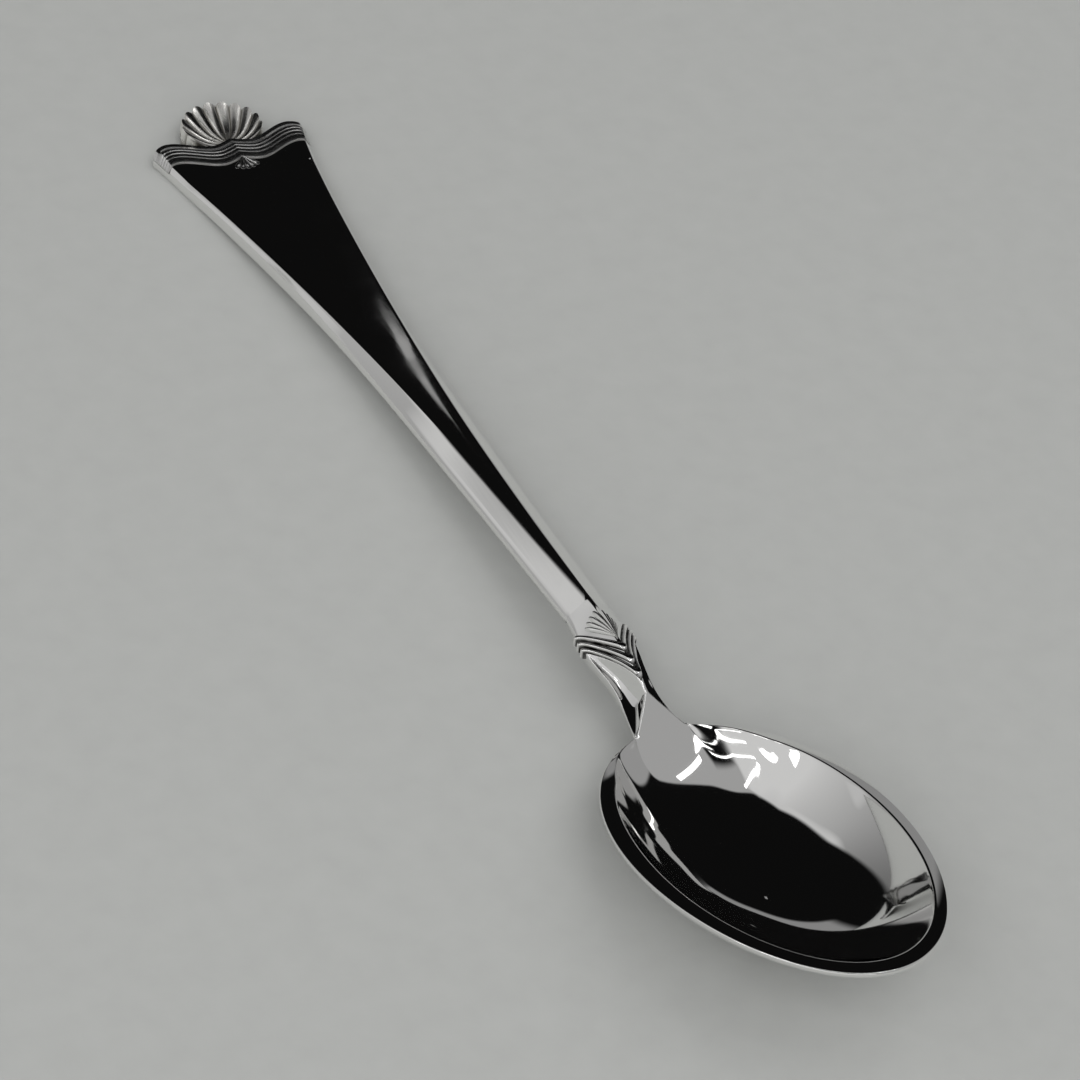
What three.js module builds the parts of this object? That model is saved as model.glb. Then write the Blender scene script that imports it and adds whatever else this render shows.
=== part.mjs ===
// A silver coffee spoon, lying on its back as it is laid on a table.
// Millimetres, +Z up, +X from the handle end to the bowl tip, the table at z = 0, and the origin
// under the middle of the spoon's length.
import * as THREE from "three";
import { mergeVertices } from "three/addons/utils/BufferGeometryUtils.js";

// Lengths along the spoon
const SHELL_REACH = 4.4; // shell tip to the shoulders of the handle end
const HANDLE_LENGTH = 70.0; // shoulders to the joint with the neck
const NECK_LENGTH = 12.2; // handle joint to bowl joint
const BOWL_LENGTH = 33.4; // bowl joint to bowl tip

// Bowl
const BOWL_WIDTH = 19.3;
const BOWL_FULLNESS = 0.07; // how much fuller the oval is towards the handle
const BOWL_LOW_POINT = 12.9; // bowl joint to the lowest point
const BOWL_FLOOR = 0.9; // metal at the lowest point
const RIM_LAND = 1.1; // width of the rim
const RIM_FALL = 0.3; // how far the rim slopes down outwards
const RIM_EDGE = 0.3; // thickness at the outer edge of the rim
const RIM_HEEL_HEIGHT = 3.2; // the rim climbs from the neck to the tip
const RIM_TIP_HEIGHT = 10.2;
const REST_FLAT = 0.2; // depth by which the round underside is worn flat
const SHOULDER_FILLET = 1.0; // hollow corner between neck and bowl

// Neck
const NECK_JOINT_WIDTH = 4.1; // at the bowl
const NECK_WAIST_WIDTH = 2.9;
const NECK_WAIST_AT = 7.9; // from the handle joint
const NECK_SWELL_WIDTH = 3.9; // under the collar
const NECK_SWELL_AT = 3.6;
const NECK_CREST_HEIGHT = 5.7; // the ridge under the collar
const BROW_AT = 8.2; // handle joint to where the ridge turns down to the bowl
const BROW_HEIGHT = 5.15;
const LIP_HEIGHTS = [[6.6, 3.7], [9.6, 3.05]]; // from the handle joint, height of the side there
const NECK_UNDER_WAIST = 2.0; // height of the underside
const NECK_UNDER_JOINT = 1.2;
const FACE_START = 9.5; // handle joint to the point of the central face
const SCOOP_END_GAP = 0.2; // lower end of the hollows to the bowl joint
const SCOOP_DEPTH = 0.8;
const EDGE_LIP = 0.2; // narrow rim along the side of the neck
const RIDGE_HALF = 0.1; // half the width of the ridge where it is sharpest

// Handle: pairs of a distance from the shoulders and the width there
const END_WIDTH = 13.6;
const OUTLINE_WIDTHS = [[12.6, 9.7], [30.6, 5.9], [50.6, 4.3]];
const END_PANEL_WIDTH = 12.8;
const PANEL_WIDTHS = [[13.1, 8.8], [30.6, 4.7], [47.6, 1.9]];
const STEM_WIDTH = 3.5; // at the neck
const END_THICKNESS = 1.3;
const STEM_DEPTH = 1.95;
const END_EDGE = 0.7; // upright side, below the bevel
const STEM_EDGE = 0.45;
const STEM_LIFT = 3.8; // height of the stem's underside at the neck
const REST_LENGTH = 5.6; // flat stretch that lies on the table
const UNDER_CHAMFER = 0.25;

// Cupid's-bow end and its moulding
const BOW_DIP = 1.4; // shoulders to the valleys beside the cusp
const BOW_CUSP = 0.6; // valleys to the cusp, which points at the shell
const BOW_VALLEY = 1.6; // axis to a valley
const BOW_PEAK = 5.3; // axis to the top of a shoulder
const BOW_CORNER_DROP = 0.95;
const BOW_FADE = 9.0; // length over which the bow dies out along the handle
const MOULDING_WIDTH = 2.8;
const MOULDING_LIP = 0.1; // height at the outer edge
const MOULDING_HEIGHT = 0.3; // height of the bed under the reeds
const COVE_WIDTH = 0.95;
const REED_WIDTH = 0.38;
const REED_HEIGHT = 0.06;
const MOULDING_TOE = 0.06; // height at the inner border
const BEAD_WIDTH = 0.3; // round line along the inner border
const BEAD_HEIGHT = 0.05;

// Ornaments
const SEAT_GAP = 0.3; // clearance under and between applied ornaments
const SHELL_HALF_WIDTH = 3.1;
const SHELL_RIBS = 11;
const SHELL_BACK = 0.25; // height of the flat back above the table
const SHELL_HINGE = 0.65; // thickness at the hinge
const SHELL_CROWN = 1.3; // thickness where the ribs stand highest
const SHELL_CROWN_AT = 0.9; // share of the way to the tips
const SHELL_EDGE = 1.0; // thickness at the tips
const SHELL_RIB_HEIGHT = 0.32;
const LEAF_LENGTH = 1.7;
const LEAF_SPREAD = 45; // degrees each side of the axis
const LEAF_RIBS = 5;
const LEAF_THICKNESS = 0.14;
const COLLAR_SIDE_START = 1.9; // handle joint to the first band at the sides
const COLLAR_SIDE_SPAN = 1.9; // along the spoon, over all three bands
const COLLAR_CREST_START = 5.0; // handle joint to the first band on the ridge
const COLLAR_CREST_SPAN = 3.9;
const COLLAR_BANDS = 3;
const COLLAR_WEB = 0.12; // metal between the bands
const COLLAR_REED_HEIGHT = 0.26;
const COLLAR_SIDE_DEPTH = 0.5; // how far the bands come down the sides
const PALMETTE_APEX = 0.9; // handle joint to the palmette's tip
const PALMETTE_SPREAD = 28;
const PALMETTE_RAYS = 9;
const PALMETTE_THICKNESS = 0.12;
const PALMETTE_RAY_HEIGHT = 0.24;

// Places along the spoon
const X_TIP = (SHELL_REACH + HANDLE_LENGTH + NECK_LENGTH + BOWL_LENGTH) / 2;
const X_BOWL = X_TIP - BOWL_LENGTH;
const X_NECK = X_BOWL - NECK_LENGTH;
const X_SHOULDER = X_NECK - HANDLE_LENGTH;
const X_SHELL = X_SHOULDER - SHELL_REACH;

const { lerp, clamp, smoothstep, degToRad } = THREE.MathUtils;

/** A smooth curve through pairs of a place and a value. */
function through(pairs) {
  const places = pairs.map((pair) => pair[0]);
  const values = pairs.map((pair) => pair[1]);
  const curve = new THREE.CubicInterpolant(places, values, 1);
  return (place) => curve.evaluate(place)[0];
}

/** The numbers 0 to 1 in equal steps. */
function steps(count) {
  return Array.from({ length: count + 1 }, (_, i) => i / count);
}

/** A closed geometry from loose triangles, with its faces turned outwards. */
function closedGeometry(triangles) {
  const geometry = new THREE.BufferGeometry();
  const positions = triangles.flatMap((corner) => [corner.x, corner.y, corner.z]);
  geometry.setAttribute("position", new THREE.Float32BufferAttribute(positions, 3));
  const merged = mergeVertices(geometry, 1e-3);
  const point = merged.getAttribute("position");
  const kept = [];
  let volume = 0;
  const [a, b, c] = [new THREE.Vector3(), new THREE.Vector3(), new THREE.Vector3()];
  for (let i = 0; i < merged.index.count; i += 3) {
    const [p, q, r] = [0, 1, 2].map((k) => merged.index.getX(i + k));
    if (p === q || q === r || r === p) continue;
    a.fromBufferAttribute(point, p);
    b.fromBufferAttribute(point, q);
    c.fromBufferAttribute(point, r);
    volume += a.dot(b.cross(c));
    kept.push(p, q, r);
  }
  if (volume < 0) kept.reverse();
  merged.setIndex(kept);
  merged.computeVertexNormals();
  return merged;
}

/** The triangles between neighbouring rows of points; rings close on themselves. */
function skin(rows, ring) {
  const triangles = [];
  const count = rows[0].length;
  for (let i = 0; i + 1 < rows.length; i += 1) {
    for (let j = 0; j < (ring ? count : count - 1); j += 1) {
      const next = (j + 1) % count;
      triangles.push(rows[i][j], rows[i + 1][j], rows[i + 1][next]);
      triangles.push(rows[i][j], rows[i + 1][next], rows[i][next]);
    }
  }
  return triangles;
}

/** A solid from closed rings, each end closed from side to side between its lower and upper edges. */
function loftedSolid(rings) {
  const edges = (ring) => {
    const crown = ring.length / 2;
    const reach = Math.floor(crown / 2);
    const across = Array.from({ length: 2 * reach + 1 }, (_, i) => i - reach);
    const lower = across.map((k) => ring[(k + ring.length) % ring.length]);
    return [lower, across.map((k) => ring[crown - k])];
  };
  const start = skin(edges(rings[0]).reverse(), false);
  const end = skin(edges(rings[rings.length - 1]), false);
  return closedGeometry([...start, ...skin(rings, true), ...end]);
}

/** A solid between an upper and a lower sheet, each a list of rows of points. */
function sheetSolid(upper, lower) {
  const edge = (sheet) => {
    const last = sheet.length - 1;
    const end = sheet[0].length - 1;
    const near = sheet[0].slice(0, end);
    const right = sheet.slice(0, last).map((row) => row[end]);
    const far = sheet[last].slice(1).reverse();
    const left = sheet.slice(1).map((row) => row[0]).reverse();
    return [...near, ...right, ...far, ...left];
  };
  const under = skin(lower, false).reverse();
  return closedGeometry([...skin(upper, false), ...under, ...skin([edge(lower), edge(upper)], true)]);
}

/** A full section from its right half, listed from the lowest point to the highest. */
function mirroredRing(x, half) {
  const right = half.map(([y, z]) => new THREE.Vector3(x, y, z));
  const left = half.slice(1, -1).reverse().map(([y, z]) => new THREE.Vector3(x, -y, z));
  return [...right, ...left];
}

/** Height of a row of reeds at a share of the way across them; a low power makes them fuller. */
function reeds(share, count, power = 0.7) {
  return Math.abs(Math.sin(Math.PI * count * share)) ** power;
}

// Rim of the bowl

/** Height of the rim at a place along the spoon. */
function rimHeight(x) {
  return lerp(RIM_HEEL_HEIGHT, RIM_TIP_HEIGHT, (x - X_BOWL) / BOWL_LENGTH);
}

/** A point of the plain oval, from the tip (0) round the right side to the heel (1). */
function ovalPoint(share) {
  const turn = Math.PI * share;
  const y = (BOWL_WIDTH / 2) * Math.sin(turn) * (1 - BOWL_FULLNESS * Math.cos(turn));
  return new THREE.Vector2(X_TIP - (BOWL_LENGTH / 2) * (1 - Math.cos(turn)), y);
}

/** The oval widened to the neck, with a hollow corner where the two meet. */
function rimPoint(share) {
  const oval = ovalPoint(share);
  if (share < 0.5) return oval;
  const half = NECK_JOINT_WIDTH / 2;
  const near = Math.max(0, SHOULDER_FILLET - Math.abs(oval.y - half));
  const y = Math.max(oval.y, half) + (share < 1 ? near ** 2 / (4 * SHOULDER_FILLET) : 0);
  return new THREE.Vector2(oval.x, y);
}

// Neck sections

const neckHalf = through([
  [X_NECK, STEM_WIDTH / 2],
  [X_NECK + NECK_SWELL_AT, NECK_SWELL_WIDTH / 2],
  [X_NECK + NECK_WAIST_AT, NECK_WAIST_WIDTH / 2],
  [X_BOWL, NECK_JOINT_WIDTH / 2],
]);
const neckTop = through([
  [X_NECK, STEM_LIFT + STEM_DEPTH],
  [X_NECK + NECK_SWELL_AT, NECK_CREST_HEIGHT],
  [X_NECK + BROW_AT, BROW_HEIGHT],
  [X_BOWL, RIM_HEEL_HEIGHT],
]);
const neckUnder = through([
  [X_NECK, STEM_LIFT],
  [X_NECK + NECK_WAIST_AT, NECK_UNDER_WAIST],
  [X_BOWL, NECK_UNDER_JOINT],
]);
const neckSide = through([
  [X_NECK, STEM_LIFT + STEM_EDGE],
  ...LIP_HEIGHTS.map(([at, height]) => [X_NECK + at, height]),
  [X_BOWL, RIM_HEEL_HEIGHT - EDGE_LIP],
]);

/** Height of the neck's rounded underside. */
function neckBelly(x, y) {
  const share = (x - X_NECK) / NECK_LENGTH;
  const side = lerp(UNDER_CHAMFER, RIM_HEEL_HEIGHT - RIM_EDGE - NECK_UNDER_JOINT, share ** 2);
  return neckUnder(x) + side * (Math.abs(y) / neckHalf(x)) ** 3;
}

/** Half the width of the neck's central face, which opens from a point on the ridge. */
function faceHalf(x) {
  const share = Math.max(0, (x - X_NECK - FACE_START) / (NECK_LENGTH - FACE_START));
  return lerp(RIDGE_HALF, neckHalf(X_BOWL) - EDGE_LIP, share ** 1.1);
}

/** Depth of the hollow below the collar, a share of the way up the flank. */
function scoopDepth(x, up) {
  const side = COLLAR_SIDE_START + COLLAR_SIDE_SPAN;
  const start = X_NECK + lerp(side, COLLAR_CREST_START + COLLAR_CREST_SPAN, up ** 1.2);
  const along = clamp((x - start) / (X_BOWL - SCOOP_END_GAP - start), 0, 1);
  return SCOOP_DEPTH * Math.sin(Math.PI * Math.sqrt(along)) * Math.sin(Math.PI * up);
}

/** Half a section of the neck: underside, side, hollowed flank, central face. */
function neckSection(x) {
  const half = neckHalf(x);
  const lip = [Math.max(half - EDGE_LIP, faceHalf(x)), neckSide(x) + EDGE_LIP / 3];
  const face = [faceHalf(x), neckTop(x)];
  const under = [0, 0.35, 0.65, 0.88, 1].map((share) => [half * share, neckBelly(x, half * share)]);
  const flank = [0.2, 0.4, 0.6, 0.8].map((share) => [
    lerp(lip[0], face[0], share),
    lerp(lip[1], face[1], share) - scoopDepth(x, share),
  ]);
  return [...under, [half, neckSide(x)], lip, ...flank, face, [0, neckTop(x)]];
}

/** The straight flank and side under the ornaments: a point and its outward direction. */
function flankFrame(x, share) {
  const half = neckHalf(x);
  const drop = neckTop(x) - neckSide(x);
  const corner = 0.75;
  const along = Math.min(share / corner, 1);
  const down = Math.max(share - corner, 0) / (1 - corner);
  const turn = smoothstep(share, corner - 0.12, corner + 0.12);
  const out = new THREE.Vector2(drop, half).normalize().lerp(new THREE.Vector2(1, 0), turn).normalize();
  const z = neckTop(x) - drop * along - COLLAR_SIDE_DEPTH * down;
  return { y: half * along, z, out };
}

/** The oval bowl: a dished shell with a sloping rim, opening into the neck. */
function bowlGeometry() {
  const bothSides = (half) => {
    const left = half.slice(1, -1).reverse().map((corner) => new THREE.Vector2(corner.x, -corner.y));
    return [...half, ...left];
  };
  const joint = [0.5, 0].map((share) => new THREE.Vector2(X_BOWL, share * NECK_JOINT_WIDTH / 2));
  const outline = bothSides([...steps(30).map(rimPoint), ...joint]);
  const oval = bothSides(steps(32).map(ovalPoint));
  const low = new THREE.Vector2(X_BOWL + BOWL_LOW_POINT, 0);
  const roundness = (corner, side, tip, heel) => {
    const way = corner.clone().sub(low).normalize().x;
    return way > 0 ? lerp(side, tip, way ** 2) : lerp(side, heel, way ** 4);
  };
  const rimShare = (corner) => smoothstep(corner.x, X_BOWL, X_BOWL + 4 * RIM_LAND);
  const inset = (corner) => {
    const land = RIM_LAND * rimShare(corner);
    return corner.clone().addScaledVector(low.clone().sub(corner).normalize(), land);
  };
  const place = (plain, share, edge, z) => {
    const spot = low.clone().lerp(plain.clone().lerp(edge, share ** 6), share);
    return new THREE.Vector3(spot.x, spot.y, z);
  };
  const insideAt = (share) => outline.map((corner, i) => {
    const edge = inset(corner);
    const rise = rimHeight(edge.x) + RIM_FALL * rimShare(corner) - BOWL_FLOOR;
    const z = BOWL_FLOOR + rise * share ** roundness(corner, 2.5, 2, 2.9);
    return place(inset(oval[i]), share, edge, z);
  });
  const outsideAt = (share) => outline.map((corner, i) => {
    const lip = rimHeight(corner.x) - RIM_EDGE;
    const atJoint = corner.x <= X_BOWL + 1e-6;
    const edge = atJoint ? lerp(lip, neckBelly(X_BOWL, corner.y), share ** 2) : lip;
    const z = (edge + REST_FLAT) * share ** roundness(corner, 2, 1.7, 2.2) - REST_FLAT;
    return place(oval[i], share, corner, Math.max(0, z));
  });
  const rim = outline.map((corner) => new THREE.Vector3(corner.x, corner.y, rimHeight(corner.x)));
  const inside = [0, 0.16, 0.32, 0.48, 0.62, 0.75, 0.86, 0.94, 1].map(insideAt);
  const outside = [1, 0.93, 0.84, 0.73, 0.6, 0.46, 0.32, 0.21, 0.12, 0].map(outsideAt);
  return closedGeometry(skin([...inside, rim, ...outside], true));
}

/** The waisted neck with its two hollowed flanks. */
function neckGeometry() {
  return loftedSolid(steps(28).map((share) => {
    const x = lerp(X_NECK, X_BOWL, share);
    return mirroredRing(x, neckSection(x));
  }));
}

/** The saddle of reeded bands, draped in a V over the neck with a seat gap under it. */
function collarGeometry() {
  const sheet = (heightAt) => steps(COLLAR_BANDS * 4).map((across) => steps(24).map((share) => {
    const span = Math.abs(2 * share - 1);
    const crest = COLLAR_CREST_START + COLLAR_CREST_SPAN * across;
    const side = COLLAR_SIDE_START + COLLAR_SIDE_SPAN * across;
    const x = X_NECK + lerp(side, crest, Math.max(0, 1 - span / 0.75) ** 1.2);
    const { y, z, out } = flankFrame(x, span);
    const height = heightAt(across);
    return new THREE.Vector3(x, Math.sign(2 * share - 1) * (y + out.x * height), z + out.y * height);
  }));
  const bandRise = (across) => COLLAR_REED_HEIGHT * reeds(across, COLLAR_BANDS, 1.5);
  const upper = sheet((across) => SEAT_GAP + COLLAR_WEB + bandRise(across));
  return sheetSolid(upper, sheet(() => SEAT_GAP));
}

/** The palmette: a small fan of rays lying over the ridge above the collar. */
function palmetteGeometry() {
  const root = X_NECK + COLLAR_CREST_START - SEAT_GAP;
  const length = COLLAR_CREST_START - SEAT_GAP - PALMETTE_APEX;
  const sheet = (heightAt) => steps(4).map((along) => steps(PALMETTE_RAYS * 4).map((share) => {
    const side = 2 * share - 1;
    const turn = degToRad(PALMETTE_SPREAD) * side;
    const ray = reeds(share, PALMETTE_RAYS);
    const round = length * lerp(1, 0.8, Math.abs(side) ** 1.5);
    const reach = round * lerp(0.12, 0.9 + 0.1 * ray, along);
    const x = root - reach * Math.cos(turn);
    const y = reach * Math.sin(turn);
    const slope = (neckTop(x) - neckSide(x)) / neckHalf(x);
    const z = neckTop(x) - slope * Math.abs(y) + heightAt(ray, along);
    return new THREE.Vector3(x, y, z);
  }));
  const swell = (ray, along) => PALMETTE_RAY_HEIGHT * ray * Math.sin(Math.PI * (0.15 + 0.7 * along));
  const upper = sheet((ray, along) => SEAT_GAP + PALMETTE_THICKNESS + swell(ray, along));
  return sheetSolid(upper, sheet(() => SEAT_GAP));
}

// Handle

const handleHalf = through([
  [X_SHOULDER, END_WIDTH / 2],
  ...OUTLINE_WIDTHS.map(([at, width]) => [X_SHOULDER + at, width / 2]),
  [X_NECK, STEM_WIDTH / 2],
]);
const panelHalf = through([
  [X_SHOULDER, END_PANEL_WIDTH / 2],
  ...PANEL_WIDTHS.map(([at, width]) => [X_SHOULDER + at, width / 2]),
  [X_NECK, RIDGE_HALF],
]);

/** How far along the rising part of the handle a place lies, from 0 to 1. */
function liftShare(x) {
  return Math.max(0, (x - X_SHOULDER - REST_LENGTH) / (HANDLE_LENGTH - REST_LENGTH));
}

/** The cupid's-bow outline of the handle end. */
function bow(y) {
  const off = Math.abs(y);
  if (off > BOW_PEAK) {
    return X_SHOULDER + BOW_CORNER_DROP * ((off - BOW_PEAK) / (END_WIDTH / 2 - BOW_PEAK)) ** 2;
  }
  const cusp = BOW_CUSP * Math.max(0, 1 - off / BOW_VALLEY) ** 1.5;
  return X_SHOULDER + BOW_DIP * (1 - smoothstep(off, BOW_VALLEY, BOW_PEAK)) - cusp;
}

/** Half a section of the handle: underside, upright side, bevel, flat panel. */
function handleSection(x) {
  const half = handleHalf(x);
  const under = STEM_LIFT * liftShare(x);
  const top = under + lerp(END_THICKNESS, STEM_DEPTH, liftShare(x));
  const side = under + lerp(END_EDGE, STEM_EDGE, liftShare(x));
  const flat = half - UNDER_CHAMFER;
  const below = steps(8).map((share) => [flat * share, under]);
  const panel = steps(8).map((share) => [panelHalf(x) * (1 - share), top]);
  return [...below, [half, under + UNDER_CHAMFER], [half, side], ...panel];
}

/** The flaring handle, with its bow-shaped end cut square through its thickness. */
function handleGeometry() {
  return loftedSolid(steps(30).map((share) => {
    const x = lerp(X_SHOULDER, X_NECK, share ** 1.25);
    const fade = Math.max(0, 1 - (x - X_SHOULDER) / BOW_FADE) ** 2;
    const ring = mirroredRing(x, handleSection(x));
    ring.forEach((corner) => {
      corner.x += fade * (bow(corner.y) - X_SHOULDER);
    });
    return ring;
  }));
}

/** Height of the end moulding at a distance from its outer edge. */
function mouldingHeight(inward) {
  const cove = lerp(MOULDING_LIP, MOULDING_HEIGHT, smoothstep(inward, COVE_WIDTH * 0.4, COVE_WIDTH));
  const slope = Math.max(0, (inward - COVE_WIDTH) / (MOULDING_WIDTH - COVE_WIDTH));
  const bed = lerp(cove, MOULDING_TOE, slope);
  const reedBed = (inward - COVE_WIDTH) / REED_WIDTH;
  const onReeds = reedBed > 0 && reedBed < 3;
  const shrink = reedBed > 2 ? 0.6 : 1;
  const bead = Math.max(0, 1 - (MOULDING_WIDTH - inward) / BEAD_WIDTH);
  return bed + (onReeds ? REED_HEIGHT * shrink * reeds(reedBed, 1) : 0) + BEAD_HEIGHT * reeds(bead, 1);
}

/** The reeded moulding that follows the bow, lying flat on the panel. */
function endMouldingGeometry() {
  const reedStops = steps(12).map((share) => COVE_WIDTH + 3 * REED_WIDTH * share);
  const beadStops = steps(4).map((share) => MOULDING_WIDTH - BEAD_WIDTH * (1 - share));
  const stops = [0, 0.4 * COVE_WIDTH, 0.7 * COVE_WIDTH, ...reedStops, ...beadStops];
  const sheet = (heightAt) => stops.map((inward) => steps(32).map((share) => {
    const y = panelHalf(X_SHOULDER + inward) * (2 * share - 1);
    return new THREE.Vector3(bow(y) + inward, y, END_THICKNESS + heightAt(inward));
  }));
  return sheetSolid(sheet(mouldingHeight), sheet(() => 0));
}

/** The small ribbed leaf that hangs from the cusp, lying flat on the panel. */
function pendantLeafGeometry() {
  const root = bow(0) + MOULDING_WIDTH;
  const sheet = (heightAt) => steps(3).map((along) => steps(LEAF_RIBS * 4).map((share) => {
    const turn = degToRad(LEAF_SPREAD) * (2 * share - 1);
    const rib = reeds(share, LEAF_RIBS);
    const reach = LEAF_LENGTH * lerp(0.06, 0.88 + 0.12 * rib, along);
    const z = END_THICKNESS + heightAt(rib, along);
    return new THREE.Vector3(root + reach * Math.cos(turn), reach * Math.sin(turn), z);
  }));
  const swell = (rib, along) => rib * Math.sin(Math.PI * (0.2 + 0.6 * along));
  const upper = sheet((rib, along) => LEAF_THICKNESS * lerp(0.4, 1, swell(rib, along)));
  return sheetSolid(upper, sheet(() => 0));
}

/** The scallop shell: ribs that fan from the hinge and stand highest before their tips. */
function shellGeometry() {
  const hinge = bow(0) - 1.2 * SEAT_GAP;
  const tipReach = hinge - X_SHELL;
  const sheet = (heightAt) => steps(8).map((along) => steps(SHELL_RIBS * 4).map((share) => {
    const side = 2 * share - 1;
    const rib = reeds(share, SHELL_RIBS);
    const round = lerp(tipReach, SHELL_HALF_WIDTH, Math.abs(side) ** 2);
    const reach = round * lerp(0.05, 1, along) * (1 - 0.09 * (1 - rib) * along);
    const turn = side * Math.acos((bow(0) - bow(reach)) / reach);
    const z = SHELL_BACK + heightAt(along, rib);
    return new THREE.Vector3(hinge - reach * Math.cos(turn), reach * Math.sin(turn), z);
  }));
  const upper = sheet((along, rib) => {
    const rise = smoothstep(along, 0.3, SHELL_CROWN_AT);
    const fall = Math.max(0, (along - SHELL_CROWN_AT) / (1 - SHELL_CROWN_AT)) ** 2;
    const body = lerp(lerp(SHELL_HINGE, SHELL_CROWN, rise), SHELL_EDGE, fall);
    return body + SHELL_RIB_HEIGHT * rib * Math.sqrt(along);
  });
  return sheetSolid(upper, sheet(() => 0));
}

/** A named piece in its own polished silver. */
function piece(name, geometry, colour, roughness) {
  const material = new THREE.MeshStandardMaterial({ color: colour, roughness, metalness: 1 });
  const mesh = new THREE.Mesh(geometry, material);
  mesh.name = name;
  return mesh;
}

const spoon = new THREE.Group();
spoon.add(
  piece("bowl", bowlGeometry(), 0xe4e3df, 0.06),
  piece("neck", neckGeometry(), 0xe4e3df, 0.07),
  piece("collar", collarGeometry(), 0xdcdad4, 0.12),
  piece("palmette", palmetteGeometry(), 0xd6d3cb, 0.16),
  piece("handle", handleGeometry(), 0xe2e1dd, 0.06),
  piece("end_moulding", endMouldingGeometry(), 0xd9d7d0, 0.12),
  piece("pendant_leaf", pendantLeafGeometry(), 0xd2cfc6, 0.18),
  piece("shell_finial", shellGeometry(), 0xd4d0c6, 0.16),
);

export default spoon;
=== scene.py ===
"""Looks of a polished silver coffee spoon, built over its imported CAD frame.

The classes hold their sizes in millimetres, in the CAD frame: +X to the bowl tip, +Z up, the
table at z = 0. A mesh turns them into metres when it is made.
"""

import logging
import math
from dataclasses import dataclass, field
from enum import Enum
from typing import Callable, ClassVar, Iterable, Sequence

import bmesh
import bpy
import numpy as np
from mathutils import Matrix, Quaternion, Vector


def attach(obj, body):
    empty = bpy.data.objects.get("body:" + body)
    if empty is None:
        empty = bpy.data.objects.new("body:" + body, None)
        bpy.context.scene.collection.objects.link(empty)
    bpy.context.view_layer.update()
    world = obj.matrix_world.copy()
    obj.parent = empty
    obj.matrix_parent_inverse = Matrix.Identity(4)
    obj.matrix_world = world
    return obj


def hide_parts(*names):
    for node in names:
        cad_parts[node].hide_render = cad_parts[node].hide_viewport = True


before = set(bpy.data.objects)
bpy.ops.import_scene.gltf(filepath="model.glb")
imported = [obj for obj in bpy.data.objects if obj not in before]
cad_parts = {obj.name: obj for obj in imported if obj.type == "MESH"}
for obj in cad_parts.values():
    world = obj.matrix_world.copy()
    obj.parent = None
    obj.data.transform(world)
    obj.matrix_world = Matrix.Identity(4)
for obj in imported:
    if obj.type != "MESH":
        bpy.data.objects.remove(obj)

LOG = logging.getLogger("coffee_spoon")
MM = 0.001
TINY = 1e-9
PLANE_TOLERANCE = 1e-6
WELD_DISTANCE = 2e-7
CORNER_SHARE = 0.45
SEAM_MATCH = 0.7

Point = tuple[float, float, float]
Pair = tuple[float, float]
Colour = tuple[float, float, float]
Powers = tuple[float, float, float]


class Slot(Enum):
    """Material slots that the record names."""

    POLISHED = "polished_silver"
    AGED = "aged_silver"


class Relief(Enum):
    """Names of the mesh attributes that the finishes read."""

    RECESS = "recess"


# Small helpers


def lerp(start: float, end: float, share: float) -> float:
    """The value a share of the way from start to end."""
    return start + (end - start) * share


def smoothstep(value: float, low: float, high: float) -> float:
    """An S-shaped step from 0 at low to 1 at high."""
    share = min(max((value - low) / (high - low), 0.0), 1.0)
    return share * share * (3.0 - 2.0 * share)


def steps(count: int) -> list[float]:
    """The numbers 0 to 1 in equal steps."""
    return [i / count for i in range(count + 1)]


def reeds(share: float, count: int, roundness: float = 0.7) -> float:
    """Height of a row of rounded reeds at a share of the way across them.

    Args:
        share: Place across the row, from 0 to 1.
        count: Number of reeds in the row.
        roundness: Below 1 makes the reeds fuller, with narrow grooves.

    Returns:
        A height from 0 in a groove to 1 on a reed.
    """
    return abs(math.sin(math.pi * count * share)) ** roundness


def bend(start: np.ndarray, tip: np.ndarray, end: np.ndarray, count: int = 5) -> list[np.ndarray]:
    """Points of a corner that is rounded from start to end."""
    return [(1 - t) ** 2 * start + 2 * t * (1 - t) * tip + t * t * end for t in steps(count)]


class SmoothCurve:
    """A smooth curve through pairs of a place and a value."""

    def __init__(self, pairs: Sequence[Pair]) -> None:
        """Works out the slopes once.

        Args:
            pairs: Places in rising order, each with its value.
        """
        self.places = np.array([pair[0] for pair in pairs], float)
        self.values = np.array([pair[1] for pair in pairs], float)
        rise = np.diff(self.values) / np.diff(self.places)
        self.slopes = np.empty_like(self.values)
        self.slopes[1:-1] = (self.values[2:] - self.values[:-2]) / (self.places[2:] - self.places[:-2])
        self.slopes[0] = 1.5 * rise[0] - 0.5 * self.slopes[1]
        self.slopes[-1] = 1.5 * rise[-1] - 0.5 * self.slopes[-2]

    def __call__(self, place: float) -> float:
        """The curve's value at a place, held level beyond the ends.

        Args:
            place: Where to read the curve.

        Returns:
            The value there.
        """
        place = min(max(place, self.places[0]), self.places[-1])
        i = int(min(max(np.searchsorted(self.places, place) - 1, 0), len(self.places) - 2))
        span = self.places[i + 1] - self.places[i]
        t = (place - self.places[i]) / span
        a = (2 * t**3 - 3 * t**2 + 1) * self.values[i] + (t**3 - 2 * t**2 + t) * span * self.slopes[i]
        b = (3 * t**2 - 2 * t**3) * self.values[i + 1] + (t**3 - t**2) * span * self.slopes[i + 1]
        return float(a + b)


@dataclass
class Corner:
    """A corner of a section, with the radius that rounds it."""

    across: float
    height: float
    radius: float = 0.0
    divisions: int = 1


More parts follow.
